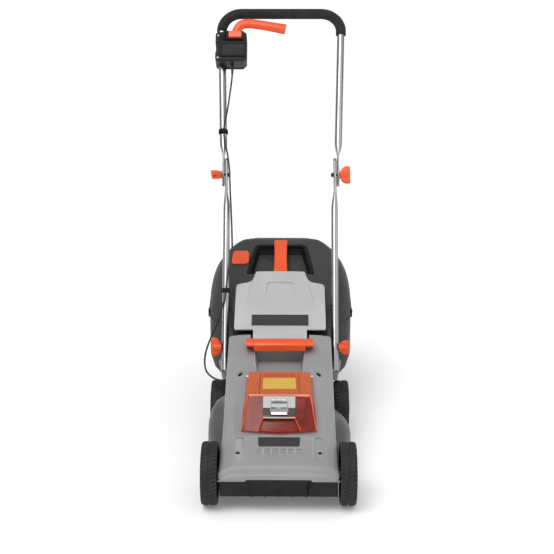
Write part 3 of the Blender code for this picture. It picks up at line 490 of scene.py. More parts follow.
LOWER_CABLE = [(-0.1501, 0.0101, 0.3638), (-0.1507, 0.0054, 0.3571), (-0.1560, -0.0038, 0.3441),
               (-0.1660, -0.0190, 0.3133),
               (-0.1800, -0.0270, 0.2770), (-0.1945, -0.0430, 0.2450), (-0.2030, -0.0560, 0.2170),
               (-0.2040, -0.0680, 0.1960), (-0.1990, -0.0820, 0.1810), (-0.1870, -0.0980, 0.1735),
               (-0.1710, -0.1170, 0.1725), (-0.1560, -0.1360, 0.1775), (-0.1440, -0.1460, 0.1830),
               (-0.1363, -0.1465, 0.1835)]      # in the machine's frame


def make_cable():
    """Three stretches; the upper one rides on the upper handle, the other two stay in place."""
    upper = [on_handle(x, d, up + JOINT_UP) for x, d, up in smooth_route(UPPER_CABLE, 0.006)]
    middle = [on_handle(x, d, up) for x, d, up in smooth_route(MIDDLE_CABLE, 0.006)]
    lower = smooth_route(LOWER_CABLE, 0.005)
    for name, node, path, length in (("cable_upper_run", "cable_upper", upper, 0.313),
                                     ("cable_middle_run", "cable_middle", middle, 0.367),
                                     ("cable_loop", "cable_lower", lower, 0.313)):
        tube = sweep(name, path, CABLE_D / 2, "rubber", 12)
        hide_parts(node)
    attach(bpy.data.objects["cable_upper_run"], "upper_handle")
    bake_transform(bpy.data.objects["cable_middle_run"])
    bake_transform(bpy.data.objects["cable_loop"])


make_cable()


# ---------------------------------------------------------------- CAD nodes that stay, with their finish
KEPT = {
    "black": ("battery_dock", "blade_hub", "switch_back_cover", "microswitch", "deck_housing"),
    "steel": ("front_axle", "rear_axle", "flap_rod", "flap_spring", "cover_hinge_pin", "mount_bolt_left",
              "mount_bolt_right", "lever_pin", "motor_body", "motor_shaft", "blade_bolt"),
    "blade": ("blade",),
    "board": ("controller_board",),
    "latch": ("battery_release_button",),
    "orange": ("safety_key",),
}


def finish_kept():
    for finish, names in KEPT.items():
        for name in names:
            node = frame["nodes"][name]
            node.data.materials.clear()
            node.data.materials.append(M[finish])


finish_kept()


# ---------------------------------------------------------------- wheels
def make_wheel(name, s, y):
    """Turned wheel whose tread is two rows of slanted blocks, half a pitch apart."""
    pitches, per_pitch, groove = 46, 8, 0.0024
    inner, outer = WHEEL_IN + 0.0005, WHEEL_OUT - 0.0002
    middle = (inner + outer) / 2
    tread = [inner + 0.0028, inner + 0.0070, middle - 0.0028, middle - 0.0014, middle + 0.0014,
             middle + 0.0028, outer - 0.0070, outer - 0.0028]
    web = [(0.010, outer - 0.003), (0.0235, outer - 0.003), (0.0265, outer - 0.011), (0.054, outer - 0.012),
           (0.0585, outer - 0.0030), (0.0640, outer - 0.0012), (0.0700, outer), (WHEEL_R - 0.0035, outer)]
    back = [(WHEEL_R - 0.0035, inner), (0.0640, inner), (0.0600, inner + 0.010), (0.020, inner + 0.010),
            (0.017, inner + 0.0005), (0.010, inner + 0.0005)]
    profile = back[::-1] + [(None, x) for x in tread] + web[::-1]
    rings = []
    for radius, x in profile:
        ring = []
        for i in range(pitches * per_pitch):
            a = 2 * pi * i / (pitches * per_pitch)
            r = radius
            if r is None:
                column = 0.0 if x < middle else 0.5
                phase = (i / per_pitch + column + abs(x - middle) * 45.0) % 1.0
                low = phase < 0.30 or abs(x - middle) < 0.002
                r = WHEEL_R - (groove if low else 0.0) - (0.0012 if x in (tread[0], tread[-1]) else 0.0)
            ring.append((s * x, y + r * cos(a), WHEEL_R + r * sin(a)))
        rings.append(ring)
    wheel = loft(name, rings, "wheel", closed=True, smooth=32)
    ribs, spokes = [], 10
    for i in range(spokes):
        a = 2 * pi * i / spokes
        rib = box(f"{name}_rib", (0.0250, 0.0575), (-0.0016, 0.0016), (outer - 0.0130, outer - 0.0052))
        rib.data.transform(Matrix.Translation((0.0, y,
                                               WHEEL_R)) @ Matrix(((0, 0, s), (1, 0, 0),
                                                                   (0, 1, 0))).to_4x4()
                           @ Matrix.Rotation(a, 4, "Z"))
        ribs.append(rib)
    gather(wheel, ribs)
    return wheel


def gather(piece, others):
    """Add the others' shells to the piece's mesh."""
    work = bmesh.new()
    for item in [piece, *others]:
        work.from_mesh(item.data)
    bmesh.ops.recalc_face_normals(work, faces=work.faces)
    work.to_mesh(piece.data)
    work.free()
    for other in others:
        bpy.data.objects.remove(other, do_unlink=True)
    piece.data.set_sharp_from_angle(angle=radians(32))


def make_hubcap(name, s, y):
    """Domed cap with a shallow ring."""
    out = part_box(name)[1][0] if s > 0 else -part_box(name)[0][0]
    profile = [(0.0, out - 0.0032), (0.0240, out - 0.0032), (0.0240, out - 0.0016), (0.0225, out - 0.0003),
               (0.0190, out), (0.0180, out - 0.0008), (0.0150, out - 0.0008), (0.0140, out),
               (0.0, out + 0.0008)]
    rings = [[(s * x, y + r * cos(a), WHEEL_R + r * sin(a)) for a in (2 * pi * i / 48 for i in range(48))]
             for r, x in ((max(r, 0.0002), x) for r, x in profile)]
    return loft(name + "_cap", rings, "wheel")


def make_wheels():
    for end in ("front", "rear"):
        for side, s in SIDES:
            y = JOINTS[f"wheel_{end}_{side}_spin"]["pos_m"][1]
            body = f"wheel_{end}_{side}_body"
            fit(make_wheel(f"treaded_wheel_{end}_{side}", s, y), body, "wheel_plastic",
                f"wheel_{end}_{side}")
            fit(make_hubcap(f"hubcap_{end}_{side}", s, y), body, "wheel_plastic", f"hubcap_{end}_{side}")


make_wheels()


# ---------------------------------------------------------------- hood
HOOD_HALF = 0.1388
FRONT_HALF = 0.1435
LIP_HALF = 0.1400
SHELL = 0.0045
LIP_LOW = 0.0862
FRONT_FOOT, SIDE_FOOT = 0.0975, 0.1353
FRONT_SCREW, REAR_SCREW = (0.0985, -0.4610), (0.1000, -0.2432)     # x of the right one, y
# y, height of the middle, height of the side wall's foot, half width
HOOD_ROWS = [(-0.5215, LIP_LOW + 0.0002, LIP_LOW, LIP_HALF), (-0.5225, 0.0985, LIP_LOW, LIP_HALF),
             (-0.5190, 0.1015, LIP_LOW, LIP_HALF), (-0.5165, 0.1030, FRONT_FOOT, FRONT_HALF),
             (-0.5095, 0.1165, FRONT_FOOT, FRONT_HALF), (-0.5040, 0.1192, FRONT_FOOT, FRONT_HALF),
             (-0.4700, 0.1302, FRONT_FOOT, FRONT_HALF), (-0.4300, 0.1430, FRONT_FOOT, FRONT_HALF),
             (-0.4215, 0.1470, FRONT_FOOT, FRONT_HALF - 0.0010),
             (-0.4150, 0.1515, SIDE_FOOT, HOOD_HALF + 0.0008),
             (-0.4050, 0.1575, SIDE_FOOT, HOOD_HALF), (-0.3500, 0.1900, SIDE_FOOT, HOOD_HALF),
             (-0.3050, 0.2135, SIDE_FOOT, HOOD_HALF), (-0.2600, 0.2355, SIDE_FOOT, HOOD_HALF),
             (-0.2000, 0.2580, SIDE_FOOT, HOOD_HALF), (-0.1500, 0.2750, SIDE_FOOT, HOOD_HALF),
             (-0.1180, 0.2875, SIDE_FOOT, HOOD_HALF), (-0.1000, 0.2920, SIDE_FOOT, HOOD_HALF),
             (-0.0988, 0.2921, SIDE_FOOT, HOOD_HALF)]


def hood_height(y):
    for (y0, z0, _, _), (y1, z1, _, _) in zip(HOOD_ROWS[1:], HOOD_ROWS[2:]):
        if y <= y1:
            return z0 + (z1 - z0) * (y - y0) / (y1 - y0)
    return HOOD_ROWS[-1][1]


def hood_skin():
    """Rows across the hood, front to rear: crowned, sunk beside the cover, round at the shoulders."""
    rows = []
    for y, top, foot, half in HOOD_ROWS:
        rise = top - foot
        crown = 0.0022 if rise > 0.01 else 0.0
        sink = 0.0065 * (-0.27 - y) / 0.135 if -0.410 < y < -0.27 else 0.0
        shoulder = min(0.0075 if y < -0.13 else 0.0035, rise * 0.45)
        edge = min(0.0145 if y < -0.13 else 0.0085, rise * 0.7)
        half_row = [(0.0, top + crown), (0.045, top + crown * 0.8), (0.0915, top + crown * 0.25 - sink),
                    (0.1005, top - sink * 0.9), (0.1125, top - crown * 0.3),
                    (0.1150, top - crown * 0.5 - 0.0004),
                    (half - 0.0060, top - shoulder), (half - 0.0012, top - edge),
                    (half, foot + rise * 0.12), (half, foot)]
        if half > HOOD_HALF + 0.002:
            half_row[2] = (0.0915, top + crown * 0.25)
        left = [(-x, y, z) for x, z in half_row[:0:-1]]
        rows.append(left + [(x, y, z) for x, z in half_row])
    return rows


def slope_block(name, x, y0, y1, depth, proud):
    """Block that follows the hood's slope between y0 and y1, from `depth` under it to `proud` over it."""
    return loft(name, [[(x[0], y, z - depth), (x[1], y, z - depth), (x[1], y, z + proud),
                        (x[0], y, z + proud)]
                       for y, z in ((y0, hood_height(y0)), (y1, hood_height(y1)))])


WELL_FLOOR = 0.2400             # of the finger well under the carry handle


def make_hood():
    hood = grid("hood_shell", hood_skin(), "hood", 60)
    fine = hood.modifiers.new("fine", "SUBSURF")
    fine.levels = fine.render_levels = 2
    fine.boundary_smooth = "PRESERVE_CORNERS"
    settle(hood)
    thick = hood.modifiers.new("thickness", "SOLIDIFY")
    thick.thickness = SHELL
    thick.offset = -1.0 if sum(face.normal.z * face.area for face in hood.data.polygons) > 0 else 1.0
    settle(hood)
    battery_room = box("battery_room", (-0.0705, 0.0705), (-0.3895, -0.2620), (0.120, 0.320))
    hinge_gap = box("hinge_gap", (-0.0800, 0.0800), (-0.2760, -0.2580), (0.200, 0.320))
    cut(hood, battery_room, hinge_gap)
    well_walls = loft("well_walls", [[(-0.0735, y, WELL_FLOOR - 0.0040), (0.0735, y, WELL_FLOOR - 0.0040),
                                      (0.0735, y, top), (-0.0735, y, top)]
                                     for y, top in ((-0.2568, WELL_FLOOR - 0.0010),
                                                    (-0.1425, hood_height(-0.1425) - 0.0008))])
    join(hood, well_walls)
    well = loft("well", [[(-0.056, -0.2545, WELL_FLOOR), (0.056, -0.2545, WELL_FLOOR),
                          (0.0690, -0.2545, 0.28), (-0.0690, -0.2545, 0.28)],
                         [(-0.058, -0.1475, WELL_FLOOR), (0.058, -0.1475, WELL_FLOOR),
                          (0.0705, -0.1475, 0.30), (-0.0705, -0.1475, 0.30)]])
    notch = box("hinge_notch", (-0.0775, 0.0775), (-0.1395, -0.080), (0.2640, 0.320))
    cut(hood, well, notch)
    for _, s in SIDES:
        front_at, rear_at = (s * FRONT_SCREW[0], FRONT_SCREW[1]), (s * REAR_SCREW[0], REAR_SCREW[1])
        groove = slope_block("screw_groove", sorted((s * 0.0850, s * 0.1060)), -0.4860, -0.4170, 0.0034,
                             0.010)
        hole = disc("screw_hole", 0.0048, 0.10, 0.160, "Z", front_at)
        rear_hole = disc("rear_screw_hole", 0.0042, 0.20, 0.260, "Z", rear_at)
        rear_slot = extruded("rear_screw_slot", circle(0.0060, 24), 0.236, 0.30, "Z")
        rear_slot.data.transform(Matrix.Translation((*rear_at,
                                                     0.0)) @ Matrix.Rotation(s * radians(-55), 4, "Z")
                                 @ Matrix.Diagonal((1.6, 0.8, 1.0, 1.0)))
        cut(hood, groove, hole, rear_hole, rear_slot)
    for i in range(6):
        x = (i - 2.5) * 0.0190
        cut(hood, slope_block("vent", (x - 0.0062, x + 0.0062), -0.4700, -0.4520, 0.0008, 0.010))
    lip_step = loft("lip_step", [[(-0.083, y, LIP_LOW - 0.003), (0.083, y, LIP_LOW - 0.003),
                                  (0.076, y, LIP_LOW + 0.0052),
                                   (-0.076, y, LIP_LOW + 0.0052)] for y in (-0.54, -0.505)])
    cut(hood, lip_step)
    soften(hood, 0.0006, 2, 40)
    fit(hood, "deck", "hood_plastic", "hood")
    for side, s in SIDES:
        lug = box(f"flap_lug_{side}", sorted((s * 0.0785, s * 0.0885)), (-0.1385, -0.1145), (0.262, 0.2865))
        soften(lug, 0.003, 3)
        lug.data.materials.append(M["hood"])
        fit(lug, "deck", "hood_plastic")
        for kind, (x, y), drop in (("front", FRONT_SCREW, 0.0075), ("rear", REAR_SCREW, 0.0090)):
            make_screw(f"hood_screw_{kind}_{side}", 0.0040, (s * x, y, hood_height(y) - drop))


def make_screw(name, radius, place_at, body="deck", turn=None):
    """Pan head with a cross recess."""
    head = loft(name, [[(a, b, z) for a, b in circle(r, 24)] for r, z in
                       ((radius, -0.0040), (radius, 0.0), (radius * 0.85, 0.0009),
                        (radius * 0.45, 0.0013))], "steel")
    cut(head, box("slot_a", (-radius * 0.55, radius * 0.55), (-0.0005, 0.0005), (0.0002, 0.01)),
        box("slot_b", (-0.0005, 0.0005), (-radius * 0.55, radius * 0.55), (0.0002, 0.01)))
    if turn:
        head.data.transform(turn.to_4x4())
    head.data.transform(Matrix.Translation(place_at))
    fit(head, body, "zinc_steel")


def make_shoulders():
    """Round side walls of the blade chamber, running up to the hood's side; the left one is the taller. They
    are the hood's grey plastic, coloured darker as painted shade.
    """
    profile = [(0.1810, 0.0470), (0.1812, 0.0880), (0.1800, 0.0980), (0.1755, 0.1060), (0.1670, 0.1150),
               (0.1560, 0.1240), (0.1440, 0.1330), (0.1372, 0.1440), (0.1360, 0.1560)]
    for side, s in SIDES:
        extra = 0.046 if s < 0 else 0.006
        rows = []
        for r, z in profile:
            row = []
            for i in range(33):
                t = i / 32
                a = radians(-38.4 + 76.8 * t)
                lift = extra * sin(pi * min(1.0, t * 0.72)) ** 2 * min(1.0, max(0.0, z - 0.080) / 0.03)
                row.append((s * max(r * cos(a), 0.1362), BLADE_Y + r * sin(a), z + lift))
            rows.append(row)
        # painted shade: the shoulders are the hood's grey plastic, coloured darker for the shadow they stand in
        skin = grid(f"chamber_shoulder_{side}", rows, "deck", 50)
        thick = skin.modifiers.new("thickness", "SOLIDIFY")
        thick.thickness = 0.0010
        thick.offset = 0.0
        settle(skin)
        fit(skin, "deck", "hood_plastic")


def make_badge():
    """Plain raised plate with rounded lower corners."""
    y0, y1 = -0.4455, -0.4195
    outline = [(-0.046, y0), (0.046, y0), (0.0495, y0 + 0.0035), (0.0505, y1), (-0.0505, y1),
               (-0.0495, y0 + 0.0035)]
    rings = [[(x, y, hood_height(y) + 0.0015 + lift) for x, y in outline] for lift in (-0.003, 0.0022)]
    plate = loft("blank_badge", rings, "plate")
    soften(plate, 0.0008, 3)
    fit(plate, "deck", "black_plastic", "front_badge")


def make_skirt():
    """Front skirt with five fins that reach below it."""
    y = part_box("front_skirt")[0][1] + 0.003
    pitch = 0.0325                  # of the fins and of the recesses between them
    outline = [(-0.1390, 0.0500), (-0.0850, 0.0500), (-0.0790, 0.0480), (0.0790, 0.0480), (0.0850, 0.0500),
               (0.1390, 0.0500), (0.1390, 0.0905), (-0.1390, 0.0905)]
    skirt = extruded("skirt_panel", outline, y, y + 0.0035, "Y", "black")
    soften(skirt, 0.0012, 3)
    recess = []
    for i in range(4):
        x = (i - 1.5) * pitch
        recess.append(box("skirt_recess", (x - 0.0135, x + 0.0135), (y - 0.01, y + 0.0008),
                          (0.0535, 0.0840)))
    cut(skirt, *recess)
    fit(skirt, "deck", "black_plastic", "front_skirt")
    for i in range(5):
        x = (i - 2) * pitch
        fin = extruded(f"skirt_fin_{i + 1}", [(y + 0.001, 0.0452), (y - 0.0024, 0.0452),
                                              (y - 0.0030, 0.0480),
                                             (y - 0.0022, 0.0860), (y + 0.001, 0.0880)], x - 0.0011,
                                             x + 0.0011, "X", "black")
        soften(fin, 0.0005, 2)
        fit(fin, "deck", "black_plastic")


def make_carry_handle():
    """Bar over the finger well, with a thicker cap at each end."""
    low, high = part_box("carry_handle")
    front, rear, top = low[1], high[1], high[2]

    def ring(x, grow, under):
        y0, y1, z1 = front - grow, rear + grow, top + grow * 0.6
        foot = 0.2755 if under else 0.2880
        back_foot = hood_height(rear) + 0.0010
        outline = [(y0 + 0.0060, foot), (y0 + 0.0015, foot + 0.0030), (y0 - 0.0010, z1 - 0.0085),
                   (y0 + 0.0035, z1 - 0.0035), (y0 + 0.0120, z1 - 0.0002), ((y0 + y1) / 2, z1),
                   (y1 - 0.0090, z1 - 0.0012), (y1 - 0.0010, z1 - 0.0075), (y1, hood_height(rear) + 0.0025),
                   (y1 - 0.0100, back_foot if not under else foot + 0.0020)]
        return [(x, y, z) for y, z in outline]
    stations = [(-0.0880, -0.0025), (-0.0872, 0.0), (-0.0690, 0.0004), (-0.0682, -0.0014),
                (-0.0660, -0.0014),
                (-0.0640, -0.0010), (0.0, -0.0006)]
    rows = [ring(x, grow, abs(x) < 0.067) for x, grow in stations]
    rows += [[(-x, y, z) for x, y, z in row] for row in reversed(rows[:-1])]
    bar = loft("carry_bar", rows, "orange", smooth=50)
    soften(bar, 0.0014, 3, 35)
    fit(bar, "deck", "orange_plastic", "carry_handle")


make_hood()
make_shoulders()
make_badge()
make_skirt()
make_carry_handle()


# ---------------------------------------------------------------- battery and its clear cover
COVER_CREST = (-0.3500, 0.2300)
COVER_FOOT = (-0.4045, 0.1630)
COVER_REAR = (-0.2605, 0.2562)


def on_cover(t, front=True):
    """Point of the cover's middle line: from the crest to the foot, or from the rear to the crest."""
    (y0, z0), (y1, z1) = (COVER_CREST, COVER_FOOT) if front else (COVER_REAR, COVER_CREST)
    return y0 + (y1 - y0) * t, z0 + (z1 - z0) * t


def cover_rows():
    """Rows across the cover, rear to foot, with the thumb recess pressed into its front."""
    rear_wall = (COVER_REAR[0] + 0.0012, COVER_REAR[1] - 0.0120, 0.0790, 0.0842)
    stations = [rear_wall, (COVER_REAR[0] - 0.0004, COVER_REAR[1] - 0.0016, 0.0778, 0.0838),
                (COVER_REAR[0] - 0.0030, COVER_REAR[1], 0.0776, 0.0836)]
    stations += [(*on_cover(t, False), 0.0776 - 0.0010 * t, 0.0836 + 0.0050 * t) for t in (0.15, 0.5, 0.85)]
    stations += [(COVER_CREST[0] + 0.003, COVER_CREST[1] + 0.0006, 0.0768, 0.0888),
                 (COVER_CREST[0] - 0.002, COVER_CREST[1] - 0.0022, 0.0768, 0.0891)]
    stations += [(*on_cover(t), 0.0768 + 0.0142 * t, 0.0892 + 0.0025 * t) for t in (0.2, 0.4, 0.60)]
    recess = [(*on_cover(t), 0.0768 + 0.0142 * t,
               0.0892 + 0.0025 * t) for t in (0.64, 0.675, 0.85, 0.97, 1.0)]
    sink = [0.0, 0.0068, 0.0052, 0.0030, 0.0]
    rows = []
    for i, (y, z, top_half, base_half) in enumerate(stations + recess):
        late = i - len(stations)
        pressed = sink[late] if late >= 0 else 0.0
        open_half = 0.0400 + 0.0095 * max(0, late) / 4
        forward = (y < COVER_CREST[0]) * 0.0125 * min(1.0, (COVER_CREST[0] - y) / 0.05)
        foot = hood_height(y) + 0.0012

        def bulge(x):
            return -forward * (1.0 - (x / top_half) ** 2)
        flat = [(0.0, pressed), (open_half - 0.0015, pressed), (open_half + 0.0010, 0.0),
                (top_half * 0.82, 0.0)]
        half = [(x, y + bulge(x) + deep * 0.78, z - deep * 0.62) for x, deep in flat]
        half += [(top_half - 0.0030, y + bulge(top_half) * 0.5, z - 0.0003), (top_half, y, z - 0.0022)]
        low = min(foot, z - 0.004)
        half += [(top_half + (base_half - top_half) * 0.85, y, low + (z - low) * 0.15), (base_half, y, low)]
        rows.append([(-x, yy, zz) for x, yy, zz in half[:0:-1]] + half)
    return rows


def make_cover():
    """Clear cover with its label, rails and edge beads, and the pale catch on its front; its crest bead and the
    top of its thumb frame are pale as painted highlights.
    """
    cover = grid("clear_cover", cover_rows(), "clear", 50)
    thick = cover.modifiers.new("thickness", "SOLIDIFY")
    thick.thickness = 0.0022
    thick.offset = -1.0 if cover.data.polygons[30].normal.z > 0 else 1.0
    settle(cover)
    soften(cover, 0.0010, 3, 30)
    fit(cover, "cover", "clear_orange", "battery_cover")

    y0, z0 = on_cover(0.30, False)
    y1, z1 = on_cover(0.72, False)
    label = loft("blank_label", [[(x, y, z + lift) for x, y,
                                  z in ((-0.0405, y0, z0), (-0.0390, y0 + 0.0015, z0 + 0.0004),
                 (0.0390, y0 + 0.0015, z0 + 0.0004), (0.0405, y0, z0), (0.0415, y1, z1),
                 (0.0400, y1 - 0.0015, z1 - 0.0004),
                 (-0.0400, y1 - 0.0015, z1 - 0.0004), (-0.0415, y1, z1))] for lift in (0.0003, 0.0008)],
                 "label")
    fit(label, "cover", "battery_latch")
    for side, s in SIDES:
        rail = sweep(f"cover_rail_{side}", [Vector((s * (0.0478 + 0.0014 * t),
                                                    *on_cover(t, False))) + Vector((0, 0, 0.0005))
                                           for t in (0.10, 0.35, 0.65, 0.93)], 0.0008, "deep", 8)
        fit(rail, "cover", "clear_orange")
    zigzag = []
    for i in range(17):
        x = (i - 8) * 0.0050
        y, z = on_cover(0.10 if i % 2 else 0.23, False)
        zigzag.append(Vector((x, y, z + 0.0005)))
    fit(sweep("cover_grip_rib", zigzag, 0.0009, "deep", 6), "cover", "clear_orange")

    y, z = COVER_CREST
    crest = [Vector((x, y - 0.0005, z + 0.0006)) for x in (-0.0740, -0.0500, 0.0, 0.0500, 0.0740)]
    # painted highlight: the crest's bead is pale orange, for the light glancing off the glossy crest
    fit(sweep("cover_crest_highlight_bead", crest, [(0.0032, 0.0011)] * 5, "crest_highlight", 10), "cover", "clear_orange")
    for side, s in SIDES:
        edge = [Vector((s * (0.0768 + 0.0142 * t), y - 0.0006, z - 0.0006)) for t, (y, z) in
                ((k / 8, on_cover(k / 8)) for k in range(9))]
        fit(sweep(f"cover_edge_{side}", edge, 0.0013, "orange", 8), "cover", "clear_orange")
        frame_side = [Vector((s * (0.0385 + 0.0140 * (t - 0.62) / 0.36),
                              y - 0.0098 * min(1.0, t * 1.6) * 0.78, z + 0.0006))
                      for t, (y, z) in ((k, on_cover(k)) for k in (0.62, 0.74, 0.86, 0.98))]
        fit(sweep(f"thumb_frame_{side}", frame_side, 0.0011, "orange", 8), "cover", "clear_orange")
    # painted highlight: the top bar of the thumb frame is pale, for the light caught along the recess's upper
    # edge
    y, z = on_cover(0.61)
    thumb_highlight_path = [Vector((x, y - 0.0093 + 0.0016 * (x / 0.038) ** 4, z + 0.0012)) for x in
                 (-0.0385, -0.0360, -0.0200, 0.0, 0.0200, 0.0360, 0.0385)]
    fit(sweep("thumb_frame_highlight", thumb_highlight_path, 0.0019, "latch", 10), "cover", "battery_latch")

    turn = atan2(COVER_FOOT[1] - COVER_CREST[1], COVER_FOOT[0] - COVER_CREST[0])
    down = Vector((0.0, cos(turn), sin(turn)))
    out = Vector((0.0, sin(turn), -cos(turn)))

    def plate(name, half, start, end, low, high, finish):
        """Block on the cover's front: from `start` to `end` down it, from `low` to `high` out of it."""
        y, z = COVER_CREST
        base = Vector((0.0, y, z))
        corners = ((-half, start), (half, start), (half, end), (-half, end))
        made = loft(name, [[base + Vector((x, 0.0, 0.0)) + down * t + out * lift for x, t in corners]
                           for lift in (low, high)], finish)
        soften(made, 0.0010, 3)
        return made
    block = plate("cover_catch", 0.0395, 0.0035, 0.0330, -0.001, 0.0085, "latch")
    fit(block, "cover", "battery_latch")
    band = plate("cover_catch_base", 0.0400, 0.0300, 0.0500, -0.001, 0.0052, "plate")
    fit(band, "cover", "black_plastic")
    clip = plate("cover_catch_clip", 0.0200, 0.0120, 0.0505, 0.002, 0.0108, "chrome")
    groove = plate("clip_groove", 0.0215, 0.0320, 0.0345, 0.0085, 0.02, None)
    cut(clip, groove)
    fit(clip, "cover", "battery_latch")
    for side, s in SIDES:
        bead = plate(f"catch_bead_{side}", 0.0008, 0.0100, 0.0420, 0.002, 0.0098, "steel")
        bead.data.transform(Matrix.Translation((s * 0.0212, 0.0, 0.0)))
        fit(bead, "cover", "battery_latch")


def make_battery():
    """Battery pack: a stepped black block with ribbed sides."""
    low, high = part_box("battery_pack")
    side = [(low[1], low[2] + 0.004), (low[1], 0.1715), (-0.3455, 0.2110), (-0.3000, 0.2250),
            (high[1], 0.2222),
            (high[1], high[2] - 0.030), (high[1] - 0.002, high[2] - 0.034)]
    pack = extruded("battery_casing", side, low[0] + 0.0005, high[0] - 0.0005, "X", "board_black")
    soften(pack, 0.0025, 3)
    ribs = []
    for i in range(7):
        y = -0.362 + 0.0125 * i
        for s in (-1, 1):
            ribs.append(box("rib", sorted((s * 0.0388, s * 0.0430)), (y, y + 0.006), (0.160, 0.2060)))
    cut(pack, *ribs)
    fit(pack, "deck", "black_plastic", "battery_pack")


make_cover()
make_battery()


# ---------------------------------------------------------------- rear flap
FLAP_TURN = Matrix.Rotation(FLAP_SLOPE, 3, "X")
FLAP_LENGTH = 0.2790


def flap_outline():
    """Left-right outline in the flap's own frame: across, and up the slope from the rod."""
    half = [(0.0715, 0.0060), (0.0715, 0.0490), (0.1180, 0.0495), (0.1215, 0.0520), (0.1225, 0.0600),
            (0.1228, 0.2120)]
    for i in range(5):
        a = radians(90.0 * i / 4)
        half.append((0.1120 + 0.0108 * cos(a), 0.2160 + 0.0140 * sin(a)))
    half += [(0.0900, 0.2360), (0.0790, 0.2440), (0.0700, 0.2700)]
    for i in range(4):
        a = radians(90.0 * i / 3)
        half.append((0.0610 + 0.0075 * cos(a), FLAP_LENGTH - 0.0085 + 0.0075 * sin(a)))
    half += [(0.0300, FLAP_LENGTH + 0.0005)]
    return half + [(-x, y) for x, y in reversed(half)]


def make_flap_ridge():
    """Raised middle of the flap: it grows out of the panel and narrows towards the end, with a finger press."""
    rings = []
    end = FLAP_LENGTH - 0.0012
    for i in range(13):
        t = i / 12
        y = 0.1150 + (end - 0.1150) * t
        half = 0.1000 - 0.0290 * min(1.0, t / 0.88) - (0.004 if t == 1 else 0.0)
        top = 0.0050 + 0.0055 * min(1.0, t / 0.55) - (0.0012 if t == 1 else 0.0)
        bow = 0.0012 * t
        rings.append([(-half - 0.0030, y, 0.0030), (-half, y, top - 0.0004), (-half * 0.5, y + bow, top),
                      (0.0, y + bow, top),
                      (half * 0.5, y + bow, top), (half, y, top - 0.0004), (half + 0.0030, y, 0.0030)])
    ridge = loft("flap_ridge", rings, "flap", smooth=30)
    press = [(-0.0440, 0.1640), (0.0440, 0.1640), (0.0345, 0.2290), (0.0290, 0.2325), (-0.0290, 0.2325),
             (-0.0345, 0.2290)]
    low = [(x, y, 0.0088 - (y - 0.170) * 0.045) for x, y in press]
    high = [(x * 1.08, y + (0.004 if y > 0.17 else 0.0), 0.0200) for x, y in press]
    cut(ridge, loft("finger_press", [low, high]))
    soften(ridge, 0.0011, 3, 22)
    place(ridge, FLAP_TURN, FLAP_PIN)
    fit(ridge, "flap", "flap_plastic")


def make_flap():
    """Panel with its tab and hinge barrel, made flat in the flap's own frame and then tilted."""
    flap = extruded("flap_panel", flap_outline(), 0.0018, 0.0055, "Z", "flap")
    tab = extruded("flap_tab", [(0.0060, 0.0010), (0.0052, 0.0060), (0.0460, 0.0072), (0.0560, 0.0055),
                                (0.0560, 0.0020)],
                   -0.0712, 0.0712, "X")
    barrel = disc("flap_barrel", 0.0063, -0.0538, 0.0538, "X", (0.0, 0.0), 32)
    join(flap, tab, barrel)
    cut(flap, box("plate_seat", (-0.0770, 0.0770), (0.0632, 0.1062), (0.0051, 0.02)))
    bore = disc("rod_bore", 0.0033, -0.2, 0.2, "X", (0.0, 0.0), 24)
    spring_room = box("spring_room", (0.0545, 0.0790), (-0.02, 0.0080), (-0.01, 0.02))
    cut(flap, bore, spring_room)
    soften(flap, 0.0007, 2, 40)
    place(flap, FLAP_TURN, FLAP_PIN)
    fit(flap, "flap", "flap_plastic", "rear_flap")
    make_flap_ridge()
    plate = box("blank_rating_plate", (-0.0762, 0.0762), (0.0640, 0.1054), (0.0050, 0.0060), "plate")
    place(plate, FLAP_TURN, FLAP_PIN)
    fit(plate, "flap", "flap_plastic")


make_flap()


# ---------------------------------------------------------------- grass catcher
# y, half width, underside, top edge at the sides, top at the middle
CATCHER_ROWS = [(-0.012, 0.106, 0.100, 0.262, 0.290), (0.012, 0.138, 0.096, 0.285, 0.312),
                (0.045, 0.190, 0.094, 0.304, 0.344), (0.110, 0.198, 0.100, 0.334, 0.375),
                (0.200, 0.191, 0.118, 0.369, 0.407), (0.270, 0.173, 0.150, 0.391, 0.4255),
                (0.330, 0.139, 0.210, 0.404, 0.4330), (0.380, 0.087, 0.300, 0.408, 0.4240)]
SPLIT_SLOPE = tan(radians(18.0))
SPLIT_Z = 0.268


def catcher_row(y):
    """The catcher's sizes at y, on a smooth line through its rows."""
    rows = CATCHER_ROWS
    for i in range(len(rows) - 1):
        if y <= rows[i + 1][0] or i == len(rows) - 2:
            a, b, c, d = (rows[max(0, min(len(rows) - 1, k))] for k in (i - 1, i, i + 1, i + 2))
            t = (y - b[0]) / (c[0] - b[0])
            return [0.5 * (2 * q + (r - p) * t + (2 * p - 5 * q + 4 * r - s) * t * t
                           + (3 * q - p - 3 * r + s) * t ** 3)
                    if 1 <= i <= 5 else q + (r - q) * t for p, q, r, s in zip(a, b, c, d)]
    return list(rows[-1])


def lid_surface(y, x=0.0):
    """Height of the lid's skin."""
    _, half, _, shoulder, top = catcher_row(y)
    across = min(1.0, abs(x) / half)
    return top if across < 0.72 else top - (top - shoulder) * ((across - 0.72) / 0.28) ** 2 * 0.9


def catcher_section(y, inset):
    """Closed outline of the catcher at y, or of the room `inset` inside it."""
    _, half, low, shoulder, top = catcher_row(y)
    w = half - inset
    side = [(w * 0.35, low + inset), (w * 0.66, low + inset + 0.001),
            (w * 0.84, low + inset + (shoulder - low) * 0.09),
            (w * 0.955, low + inset + (shoulder - low) * 0.22), (w, low + inset + (shoulder - low) * 0.36),
            (w * 1.0, shoulder - (shoulder - low) * 0.25), (w * 0.997, shoulder - 0.010)]
    for i in range(7):
        t = i / 6
        side.append((w * (0.995 - 0.275 * t),
                     shoulder - inset * (0.2 + 0.8 * t) + (top - shoulder) * (1 - (1 - t) ** 2.2)))
    side.append((w * 0.36, top - inset))
    return [(x, y, z) for x, z in side] + [(-x, y, z) for x, z in reversed(side)]


